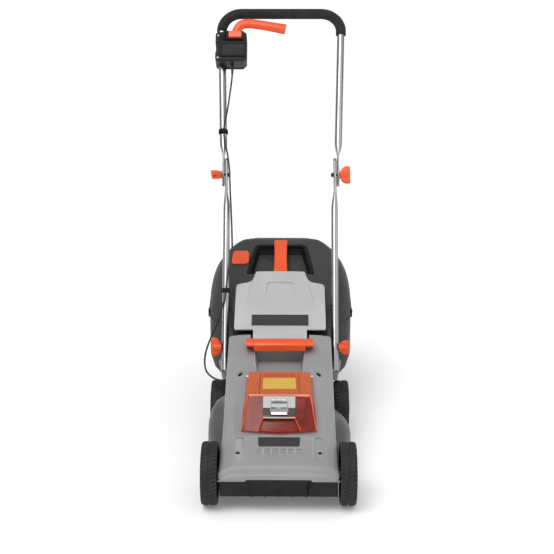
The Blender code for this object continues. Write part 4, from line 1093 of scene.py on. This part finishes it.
def catcher_loft(name, inset, finish=None):
    """The catcher's whole form, drawn in a little at its two ends when it isn't the inside."""
    first, last = CATCHER_ROWS[0][0], CATCHER_ROWS[-1][0]
    stations = [first + inset + (last - first - 2 * inset) * i / 40 for i in range(41)]
    rings = [catcher_section(y, inset) for y in stations]
    if not inset:
        for end in (0, -1):
            centre = Vector((0.0, stations[end], sum(p[2] for p in rings[end]) / len(rings[end])))
            rings[end] = [centre + (Vector(p) - centre) * 0.975 for p in rings[end]]
    return loft(name, rings, finish, smooth=45)


def half_space(name, above, offset):
    """Block that takes off what is above, or below, the split between tub and lid."""
    ends = [(y, SPLIT_Z + SPLIT_SLOPE * y + offset) for y in (-0.2, 0.6)]
    far = 1.0 if above else -0.5
    return extruded(name, [*ends, (0.6, far), (-0.2, far)], -0.4, 0.4, "X")


RECESS_LOW, RECESS_HIGH = 0.138, 0.286


def recess_outline(grow):
    """Trapezoid with rounded far corners, seen from above."""
    half = [(0.0950 + grow, RECESS_LOW - grow)]
    for i in range(5):
        a = radians(12 + 78.0 * i / 4)
        half.append((0.0580 + (0.0180 + grow) * cos(a), RECESS_HIGH - 0.018 + (0.0180 + grow) * sin(a)))
    return half + [(-x, y) for x, y in reversed(half)]


WALL = 0.003
RECESS_DEPTH = 0.026


def make_catcher():
    """Tub and lid cut from one form, with the finger recess sunk into the lid."""
    body = catcher_loft("catcher_tub", 0.0, "catcher")
    cut(body, half_space("above", True, -0.0007), catcher_loft("inside", WALL))
    cut(body, box("mouth", (-0.088, 0.088), (-0.05, 0.03), (0.112, 0.240)))
    soften(body, 0.0008, 2, 50)
    fit(body, "catcher", "catcher_plastic", "catcher_body")
    lid = catcher_loft("catcher_top", 0.0, "catcher")
    cut(lid, half_space("below", False, 0.0007), catcher_loft("inside", WALL))
    rings = [[(x, y, lid_surface(y) + rise) for x, y in recess_outline(grow)]
             for grow, rise in ((-0.0090, -RECESS_DEPTH - WALL), (0.0035, -0.0015))]
    join(lid, loft("recess_tub", rings))
    rings = [[(x, y, lid_surface(y) + rise) for x, y in recess_outline(grow)] for grow,
             rise in ((-0.0125, -RECESS_DEPTH), (0.0, -0.0005), (0.0, 0.02))]
    cut(lid, loft("recess_room", rings))
    lid.data.materials.append(M["board_black"])
    for face in lid.data.polygons:              # painted shade: the recess's inward-facing walls are made deep black for the shade that falls on them
        x, y, z = face.center
        skin = lid_surface(y, x)
        inside = RECESS_LOW + 0.004 < y < RECESS_HIGH + 0.002 and abs(x) < 0.096
        sunk = z > skin - RECESS_DEPTH - 0.001 and z < skin + 0.0005
        if inside and sunk and face.normal.z < 0.93 and face.normal.dot(Vector((-x, 0.2 - y, 0.0))) > 0:
            face.material_index = 1
    soften(lid, 0.0009, 2, 50)
    fit(lid, "catcher", "catcher_plastic", "catcher_lid")
    make_rim()
    make_strip()
    make_indicator()
    make_seam()


RIM_SIZE = (0.0020, 0.0058)      # across, deep


def make_rim():
    """Black rim round the recess, open towards the machine; drawn thick, its black also paints the band of
    shade on the recess's wall.
    """
    path = recess_outline(-0.0040)
    points = []
    for (x0, y0), (x1, y1) in zip(path, path[1:]):
        steps = max(1, round(((x1 - x0) ** 2 + (y1 - y0) ** 2) ** 0.5 / 0.008))
        points += [(x0 + (x1 - x0) * i / steps, y0 + (y1 - y0) * i / steps) for i in range(steps)]
    points.append(path[-1])
    rim = sweep("recess_rim", [Vector((x, y, lid_surface(y, x) - 0.0006)) for x, y in points],
                [RIM_SIZE] * len(points), "board_black", 12)
    fit(rim, "catcher", "catcher_plastic")


def make_strip():
    """Orange handle strip, waisted in the middle, over the recess."""
    low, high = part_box("catcher_handle")
    start, end = low[1], high[1] + 0.0120
    rows = []
    for i in range(15):
        t = i / 14
        y = start + (end - start) * t
        half = 0.0200 - 0.0022 * sin(pi * t)
        top = lid_surface(y) + 0.0040
        thick = 0.0120 if 0.09 < t < 0.86 else 0.0034
        rows.append([(-half, y, top - thick), (half, y, top - thick), (half, y, top - 0.0016),
                     (half - 0.0018, y, top - 0.0002),
                     (half * 0.5, y, top + 0.0004), (-half * 0.5, y, top + 0.0004),
                     (-half + 0.0018, y, top - 0.0002),
                     (-half, y, top - 0.0016)])
    strip = loft("strip_handle", rows, "orange", smooth=40)
    soften(strip, 0.0008, 2, 35)
    fit(strip, "catcher", "orange_plastic", "catcher_handle")


def make_indicator():
    """Orange flag on the lid that lifts while the catcher fills."""
    low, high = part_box("level_indicator")
    low, high = Vector(low) + Vector((-0.0040, 0.0100, 0.0)), Vector(high) + Vector((-0.0060, 0.0, 0.0))
    outline = [(low[0], low[1] + 0.006), (low[0] + 0.006, low[1]), (high[0] - 0.008, low[1]),
               (high[0] - 0.0065, low[1] + 0.004),
               (high[0], low[1] + 0.004), (high[0] + 0.001, high[1] - 0.012), (high[0] - 0.006, high[1]),
               (low[0] + 0.008, high[1]), (low[0] + 0.002, high[1] - 0.008)]
    rings = [[(x, y, lid_surface(y, x) + 0.0060 + lift) for x, y in outline] for lift in (-0.0045, 0.0)]
    flag = loft("full_level_flag", rings, "orange")
    soften(flag, 0.0010, 3, 30)
    fit(flag, "indicator", "orange_plastic", "level_indicator")


def make_seam():
    """Rolled lip of the lid where it meets the tub, and two clips on each side."""
    for side, s in SIDES:
        points = []
        for i in range(34):
            y = 0.004 + 0.350 * i / 33
            _, half, _, _, _ = catcher_row(y)
            points.append(Vector((s * (half + 0.0002), y, SPLIT_Z + SPLIT_SLOPE * y + 0.0030)))
        lip = sweep(f"lid_lip_{side}", points, 0.0021, "catcher", 10)
        fit(lip, "catcher", "catcher_plastic")
        for k, y in enumerate((0.075, 0.215)):
            _, half, _, _, _ = catcher_row(y)
            z = SPLIT_Z + SPLIT_SLOPE * y
            clip = box(f"lid_clip_{side}_{k + 1}", sorted((s * (half - 0.002), s * (half + 0.0038))),
                       (y - 0.009, y + 0.009), (z - 0.010, z + 0.012), "board_black")
            soften(clip, 0.0016, 3)
            fit(clip, "catcher", "catcher_plastic")
            stud = disc(f"clip_stud_{side}_{k + 1}", 0.0022, s * (half + 0.0030), s * (half + 0.0050), "X",
                        (y, z + 0.004), 20, "steel")
            soften(stud, 0.0006, 2)
            fit(stud, "catcher", "zinc_steel")


make_catcher()


# ---------------------------------------------------------------- handle
LOWER_R = 0.0095
LOWER_END = -0.065
LOWER_STRAIGHT = 0.400          # above the mount, where the lower tube starts to flatten
LOWER_EASE = 0.055
LOWER_TOP = 0.538
PRESSED = (0.0048, 0.0125)      # half sizes of the pressed end: along x, deep
UPPER_R = 0.0110
GRIP_R = 0.0150
GRIP_UP = 0.5140                # above the joint, to the grip's centre line
BEND_R = 0.058
BEND_STEPS = 14
FLAT_UP = 0.054                 # above the joint, where the upper tube's pressed end stops
FLAT_EASE = 0.040


def eased(a, b, t):
    """From a to b as t goes from 0 to 1, with a soft start and end."""
    t = min(1.0, max(0.0, t))
    return a + (b - a) * t * t * (3 - 2 * t)


def make_lower_tube(side, s):
    """Round tube, pressed flat at its upper end for the joint and rounded off there."""
    straight = LOWER_STRAIGHT - LOWER_END
    half, deep = PRESSED
    stations = [(LOWER_END + straight * i / 8, LOWER_R, LOWER_R) for i in range(9)]
    stations += [(LOWER_STRAIGHT + LOWER_EASE * t, eased(LOWER_R, half, t), eased(LOWER_R, deep, t))
                 for t in (i / 8 for i in range(1, 9))]
    stations += [(up, half, deep) for up in (0.480, 0.510, LOWER_TOP)]
    stations += [(LOWER_TOP + 0.0128 * sin(radians(a)), 0.0047, deep * cos(radians(a)) + 0.0006)
                 for a in (30, 60, 82)]
    rings = []
    for up, half_x, half_d in stations:
        x = s * (0.1477 + 0.0038 * min(1.0, (up - LOWER_END) / straight)
                 + eased(0.0, 0.0020, (up - LOWER_STRAIGHT) / LOWER_EASE))
        rings.append([(x + half_x * a, half_d * b, up) for a, b in circle(1.0, 28)])
    tube = loft(f"lower_leg_{side}", rings, "tube", smooth=50)
    cut(tube, disc("tube_mouth", LOWER_R - 0.0014, -0.10, LOWER_END + 0.018, "Z", (s * 0.1481, 0.0), 28))
    to_handle(tube)
    fit(tube, "lower_handle", "tube_metal", f"lower_tube_{side}")


def upper_side_x(up):
    """The upper tube's sides spread slightly towards the grip."""
    return 0.1628 + max(0.0, up - FLAT_UP) * 0.0325


def upper_path(start):
    """Centre line from the left end, over the grip, to the right end."""
    corner = GRIP_UP - BEND_R
    left = [(-upper_side_x(up), up) for up in start if up < corner]
    bend_x = upper_side_x(corner)
    arc = []
    for i in range(BEND_STEPS + 1):
        a = pi - (pi / 2) * i / BEND_STEPS
        arc.append((-(bend_x - BEND_R) + BEND_R * cos(a), corner + BEND_R * sin(a)))
    whole = left + arc
    return whole + [(-x, up) for x, up in reversed(whole)]


def make_upper_tube():
    """U-shaped tube, pressed flat at both ends for the joints."""
    flat = [-0.034, -0.024, 0.0, 0.030, FLAT_UP]
    ease = [FLAT_UP + FLAT_EASE * i / 6 for i in range(1, 7)]
    straight = [0.094 + 0.34 * i / 6 for i in range(1, 7)]
    path = upper_path(flat + ease + straight)
    sizes = []
    for _, up in path:
        t = (up - FLAT_UP) / FLAT_EASE
        end = 0.0130 * max(0.35, min(1.0, 0.35 + (up + 0.034) / 0.010 * 0.65))
        sizes.append((eased(0.0037, UPPER_R, t), eased(end, UPPER_R, t)))
    tube = sweep_flat("upper_bow", path, sizes, "tube")
    to_handle(tube, above_joint=True)
    fit(tube, "upper_handle", "tube_metal", "upper_tube")


def sweep_flat(name, path, sizes, finish, sides=28, depth=0.0):
    """Tube along a path in the handle's plane; sizes are (across the plane's run, out of the plane)."""
    rings = []
    for i, (x, up) in enumerate(path):
        before, after = Vector(path[max(i - 1, 0)]), Vector(path[min(i + 1, len(path) - 1)])
        run = (after - before).normalized()
        across, deep = sizes[i]
        rings.append([(x + run.y * across * a, depth + deep * b, up - run.x * across * a)
                      for a, b in circle(1.0, sides)])
    return loft(name, rings, finish, smooth=50)


def make_grip():
    """Foam sleeve with rolled ends; it reaches lower on the side away from the switch."""
    right = 0.4420
    first, *rest = upper_path([])
    last = (upper_side_x(right), right)
    path = [(first[0] - 0.0002, first[1] - 0.0025), first] + rest + [(last[0], last[1] + 0.0025), last]
    sizes = [(GRIP_R, GRIP_R)] * len(path)
    sizes[0] = sizes[-1] = (GRIP_R - 0.0020, GRIP_R - 0.0020)
    grip = sweep_flat("foam_grip", path, sizes, "foam", 32)
    to_handle(grip, above_joint=True)
    fit(grip, "upper_handle", "grip_foam", "grip_sleeve")
    collar_path = [(-upper_side_x(up), up) for up in (0.4325, 0.4335, 0.4385, 0.4395)]
    collar = sweep_flat("grip_collar", collar_path, [(0.0128, 0.0128), (0.0138, 0.0138), (0.0138, 0.0138),
                                                     (0.0128, 0.0128)], "latch")
    to_handle(collar, above_joint=True)
    fit(collar, "upper_handle", "black_plastic")


BOX_LOW, BOX_HIGH = 0.338, 0.4313              # of the switch box, above the joint
CORNER_STEPS = 4
BOX_FRONT, BOX_BACK = -0.048, 0.016
LEVER_PIVOT = (-0.1345, 0.424)
LEVER_DEPTH = -0.0270


def rounded(x, up, radius):
    """Rectangle with round corners in the handle's plane."""
    points = []
    for cx, cz, start in ((x[1] - radius, up[1] - radius, 0), (x[0] + radius, up[1] - radius, 90),
                          (x[0] + radius, up[0] + radius, 180), (x[1] - radius, up[0] + radius, 270)):
        for i in range(CORNER_STEPS + 1):
            a = radians(start + 90 * i / CORNER_STEPS)
            points.append((cx + radius * cos(a), cz + radius * sin(a)))
    return points


def make_switch_box():
    """Two-part case round the left tube, with its front plate, brow, ledge, lock button, boot and back."""
    housing = extruded("switch_case", rounded((-0.1915, -0.1003), (BOX_LOW, BOX_HIGH), 0.010),
                       BOX_FRONT + 0.0048, BOX_BACK,
                       "Y", "black")
    soften(housing, 0.0040, 4, 60)
    seam = extruded("seam", rounded((-0.1935, -0.0983), (BOX_LOW - 0.002, BOX_HIGH + 0.002), 0.011),
                    0.0010, 0.0018, "Y")
    core = extruded("core", rounded((-0.1900, -0.1018), (BOX_LOW + 0.0015, BOX_HIGH - 0.0015), 0.009),
                    -0.01, 0.02, "Y")
    cut(seam, core)
    cut(housing, seam)
    room = box("lever_room", (-0.1530, -0.1160), (-0.0375, -0.0165), (0.4020, 0.60))
    bore_path = [(-upper_side_x(0.29), 0.29), (-upper_side_x(0.45), 0.45)]
    bore = sweep_flat("bore", bore_path, [(0.0113, 0.0113)] * 2, None)
    cut(housing, room, bore)
    step = extruded("side_step", [(-0.200, BOX_LOW + 0.024), (-0.1893, BOX_LOW + 0.028),
                                  (-0.1893, BOX_LOW + 0.056),
                                  (-0.200, BOX_LOW + 0.060)], BOX_FRONT - 0.01, 0.03, "Y")
    press_room = box("press_room", (-0.1555, -0.1135), (BOX_FRONT - 0.01, -0.0375), (0.4070, 0.4305))
    chamfer = extruded("corner", [(-0.0950, BOX_LOW - 0.004), (-0.0950, BOX_LOW + 0.0190),
                                  (-0.1160, BOX_LOW - 0.004)],
                       BOX_FRONT - 0.01, 0.03, "Y")
    cut(housing, step, press_room, chamfer)
    panel = extruded("switch_face", rounded((-0.1770, -0.1045), (0.3505, 0.3950), 0.0045), BOX_FRONT,
                     BOX_FRONT + 0.008, "Y", "black")
    inset = extruded("face_inset", rounded((-0.1725, -0.1090), (0.3550, 0.3905), 0.003), BOX_FRONT - 0.01,
                     BOX_FRONT + 0.0011, "Y")
    soften(panel, 0.0018, 3, 60)
    cut(panel, inset)
    brow = extruded("switch_brow", rounded((-0.1600, -0.1085), (0.4040, 0.4312), 0.004),
                    BOX_FRONT - 0.0002, BOX_FRONT + 0.008, "Y", "black")
    pocket = extruded("button_pocket", rounded((-0.1550, -0.1140), (0.4075, 0.4300), 0.003),
                      BOX_FRONT - 0.02, BOX_FRONT + 0.02, "Y")
    soften(brow, 0.0016, 3, 60)
    cut(brow, pocket)
    ledge = box("switch_ledge", (-0.1880, -0.1036), (BOX_FRONT + 0.0020, BOX_FRONT + 0.008),
                (0.3958, 0.3995), "black")
    soften(ledge, 0.0012, 3)
    for piece in (housing, panel, brow, ledge):
        to_handle(piece, above_joint=True)
    fit(housing, "upper_handle", "black_plastic", "switch_housing")
    for piece in (panel, brow, ledge):
        fit(piece, "upper_handle", "black_plastic")
    button = extruded("lock_button", rounded((-0.1537, -0.1153), (0.4086, 0.4288), 0.0045), -0.0530,
                      -0.0445, "Y", "orange")
    soften(button, 0.0022, 4, 60)
    to_handle(button, above_joint=True)
    fit(button, "lock_button", "orange_plastic", "lock_off_button")
    turn = HANDLE_TURN @ Matrix.Rotation(radians(90), 3, "X")
    for k, (x, up) in enumerate(((-0.1835, 0.3470), (-0.1835, 0.4180))):
        spot = FOLD + Vector((x, 0.0, 0.0)) + DEEP * (BOX_FRONT + 0.0046) + ALONG * up
        make_screw(f"switch_screw_{k + 1}", 0.0030, spot, "upper_handle", turn)
    boot = loft("cable_boot", [[(-0.1420 + r * a, -0.0170 + r * b, up) for a, b in circle(1.0, 20)]
                               for r, up in ((0.0058, 0.3400), (0.0058, 0.3350), (0.0040, 0.3345),
                                             (0.0040, 0.3290),
                                             (0.0048, 0.3285), (0.0046, 0.3240), (0.0038, 0.3235),
                                             (0.0034, 0.3080))], "rubber")
    to_handle(boot, above_joint=True)
    fit(boot, "upper_handle", "cable_rubber")
    back = extruded("switch_back", rounded((-0.1870, -0.1200), (BOX_LOW + 0.004, BOX_HIGH - 0.004), 0.008),
                    BOX_BACK + 0.0004,
                    BOX_BACK + 0.0045, "Y", "black")
    soften(back, 0.0018, 3, 60)
    to_handle(back, above_joint=True)
    fit(back, "upper_handle", "black_plastic", "switch_back_cover")


def make_lever():
    """Bail lever: up from its pivot, round a smooth bend, then a bar to the right that widens."""
    px, pz = LEVER_PIVOT
    route = [(px, pz - 0.010, 0.0100), (px, pz + 0.004, 0.0110), (px + 0.0022, 0.4380, 0.0122),
             (-0.1262, 0.4525, 0.0136),
             (-0.1150, 0.4630, 0.0145), (-0.0990, 0.4662, 0.0148), (-0.0750, 0.4640, 0.0146),
             (-0.0457, 0.4590, 0.0146),
             (-0.0160, 0.4530, 0.0152), (0.0125, 0.4472, 0.0162)]
    fine = smooth_route([(x, half, up) for x, up, half in route], 0.006)
    path = [(p.x, p.z) for p in fine]
    sizes = [(p.y, 0.0086 + 0.0010 * min(1.0, max(0.0, (p.x + 0.11) / 0.1))) for p in fine]
    lever = sweep_flat("bail_bar", path, sizes, "orange", 28, LEVER_DEPTH)
    soften(lever, 0.0016, 3, 50)
    to_handle(lever, above_joint=True)
    fit(lever, "lever", "orange_plastic", "bail_lever")


def wing_knob(name, body, s, near, far, reach, centre, edge_on, node):
    """Clamp knob: round hub with two flared wings."""
    y, z = centre
    hub = [(0.0, near), (0.0108, near), (0.0108, near + 0.0045), (0.0098, near + 0.0055),
           (0.0088, far - 0.0070),
           (0.0060, far - 0.0050), (0.0, far - 0.0045)]
    rings = [[(s * x, max(r, 0.0002) * a, max(r, 0.0002) * b) for a, b in circle(1.0, 32)] for r, x in hub]
    knob = loft(name, rings, "orange")
    middle = near + (far - near) * 0.45
    wing_rings = []
    for x, half, length in ((near + 0.0030, 0.0062, reach * 0.52), (near + 0.0065, 0.0060, reach * 0.74),
                            (middle, 0.0050, reach * 0.95), ((middle + far) / 2, 0.0046, reach),
                            (far, 0.0042, reach * 0.96)):
        ring = []
        for cx, cz, start in ((half, length, 0), (-half, length, 90), (-half, -length, 180),
                              (half, -length, 270)):
            r = half * 0.75
            for i in range(4):
                a = radians(start + 30 * i)
                mx = cx - r if cx > 0 else cx + r
                mz = cz - r if cz > 0 else cz + r
                ring.append((s * x, mx + r * cos(a), mz + r * sin(a)))
        wing_rings.append(ring)
    join(knob, loft("wings", wing_rings))
    if edge_on:
        cut(knob, *[box("waist", sorted((s * (middle + 0.0035), s * (far + 0.01))), (-0.02, 0.02),
                        sorted((k * 0.0035, k * 0.0085)))
                    for k in (-1, 1)])
    soften(knob, 0.0012, 3, 35)
    if edge_on:
        knob.data.transform(Matrix.Rotation(radians(90), 4, "X"))
    lean = Matrix.Rotation(-radians(35.0), 4, "X") if edge_on or "wing" in name else Matrix.Identity(4)
    knob.data.transform(Matrix.Translation((0.0, y, z)) @ lean)
    fit(knob, body, "orange_plastic", node)


def make_knobs():
    for side, s in SIDES:
        low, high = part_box(f"wing_knob_{side}")
        near, far = sorted((abs(low[0]), abs(high[0])))
        wing_knob(f"joint_wing_{side}", f"wing_knob_{side}_body", s, near, far, 0.0265, (FOLD.y, FOLD.z),
                  side == "left",
                  f"wing_knob_{side}")
        low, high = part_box(f"mount_knob_{side}")
        near, far = sorted((abs(low[0]), abs(high[0])))
        wing_knob(f"mount_clamp_{side}", f"mount_knob_{side}_body", s, near, far,
                  0.027 if side == "left" else 0.020,
                  (MOUNT.y, MOUNT.z), False, f"mount_knob_{side}")


def make_joint_bolts():
    """Carriage bolt: a domed head inside the tube's flat, and the shank through the joint."""
    for side, s in SIDES:
        low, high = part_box(f"joint_bolt_{side}")
        start, tip = sorted((abs(low[0]), abs(high[0])))
        profile = [(0.0002, start), (0.0040, start + 0.0006), (0.0062, start + 0.0026),
                   (0.0065, start + 0.0064),
                   (0.0030, start + 0.0064), (0.0030, tip - 0.0006), (0.0024, tip), (0.0002, tip)]
        bolt = loft(f"carriage_bolt_{side}", [[(s * x, FOLD.y + r * a, FOLD.z + r * b) for a,
                                               b in circle(1.0, 28)]
                                             for r, x in profile], "board_black")
        fit(bolt, "upper_handle", "black_plastic", f"joint_bolt_{side}")


def make_brackets():
    """Bracket plates on the hood's sides, with three slots, and a grey foot outside the tube."""
    for side, s in SIDES:
        outline = [(-0.0975, 0.1300), (-0.0365, 0.1300), (-0.0365, 0.2360), (-0.0460, 0.2575),
                   (-0.0600, 0.2635),
                   (-0.0760, 0.2575), (-0.0860, 0.2420), (-0.0975, 0.2100)]
        plate = extruded(f"mount_plate_{side}", outline, s * 0.1281, s * 0.1379, "X", "black")
        slots = [box("slot", sorted((s * 0.1320, s * 0.150)), (-0.11, -0.044), (z, z + 0.013))
                 for z in (0.160 + 0.022 * i for i in range(3))]
        sink = disc("sink", 0.0076, s * 0.12, s * 0.1332, "X", (MOUNT.y, MOUNT.z), 28)
        bore = disc("bore", 0.0034, s * 0.12, s * 0.15, "X", (MOUNT.y, MOUNT.z), 28)
        cut(plate, *slots, sink, bore)
        soften(plate, 0.0012, 2, 40)
        fit(plate, "deck", "black_plastic", f"handle_bracket_{side}")
        rings = [[(s * near, front, z), (s * far, front, z), (s * far, rear, z), (s * near, rear, z)]
                 for near, far, front, rear, z in ((0.1385, 0.1550, -0.088, -0.040, 0.1570),
                                                   (0.1385, 0.1600, -0.082, -0.048, 0.1800),
                                                   (0.1500, 0.1650, -0.076, -0.052, 0.2060))]
        foot = loft(f"bracket_foot_{side}", rings, "hood")
        soften(foot, 0.0022, 3, 30)
        fit(foot, "deck", "hood_plastic")


def make_clips():
    """Snap clips that hold the cable on the tubes."""
    for name, node, body, x, up, tube_r, cable_depth, above in (
            ("tube_clip_lower", "cable_clip_lower", "lower_handle", -0.1497, 0.157, LOWER_R, -0.0124,
             False),
            ("tube_clip_upper", "cable_clip_upper", "upper_handle", -upper_side_x(0.130), 0.130, UPPER_R,
             -0.0139, True)):
        rings = []
        for grow, z in ((0.0018, up - 0.0048), (0.0026, up - 0.0040), (0.0026, up + 0.0040),
                        (0.0018, up + 0.0048),
                        (0.0003, up + 0.0048), (0.0003, up - 0.0048)):
            reach = tube_r + grow
            rings.append([(x + a * reach, b * reach + (cable_depth * 0.52 if b < -0.25 else 0.0), z) for a,
                          b in circle(1.0, 36)])
        clip = loft(name, rings, "board_black", closed=True)
        to_handle(clip, above_joint=above)
        fit(clip, body, "black_plastic", node)


for side_name, sign in SIDES:
    make_lower_tube(side_name, sign)
make_upper_tube()
make_grip()
make_switch_box()
make_lever()
make_knobs()
make_joint_bolts()
make_brackets()
make_clips()
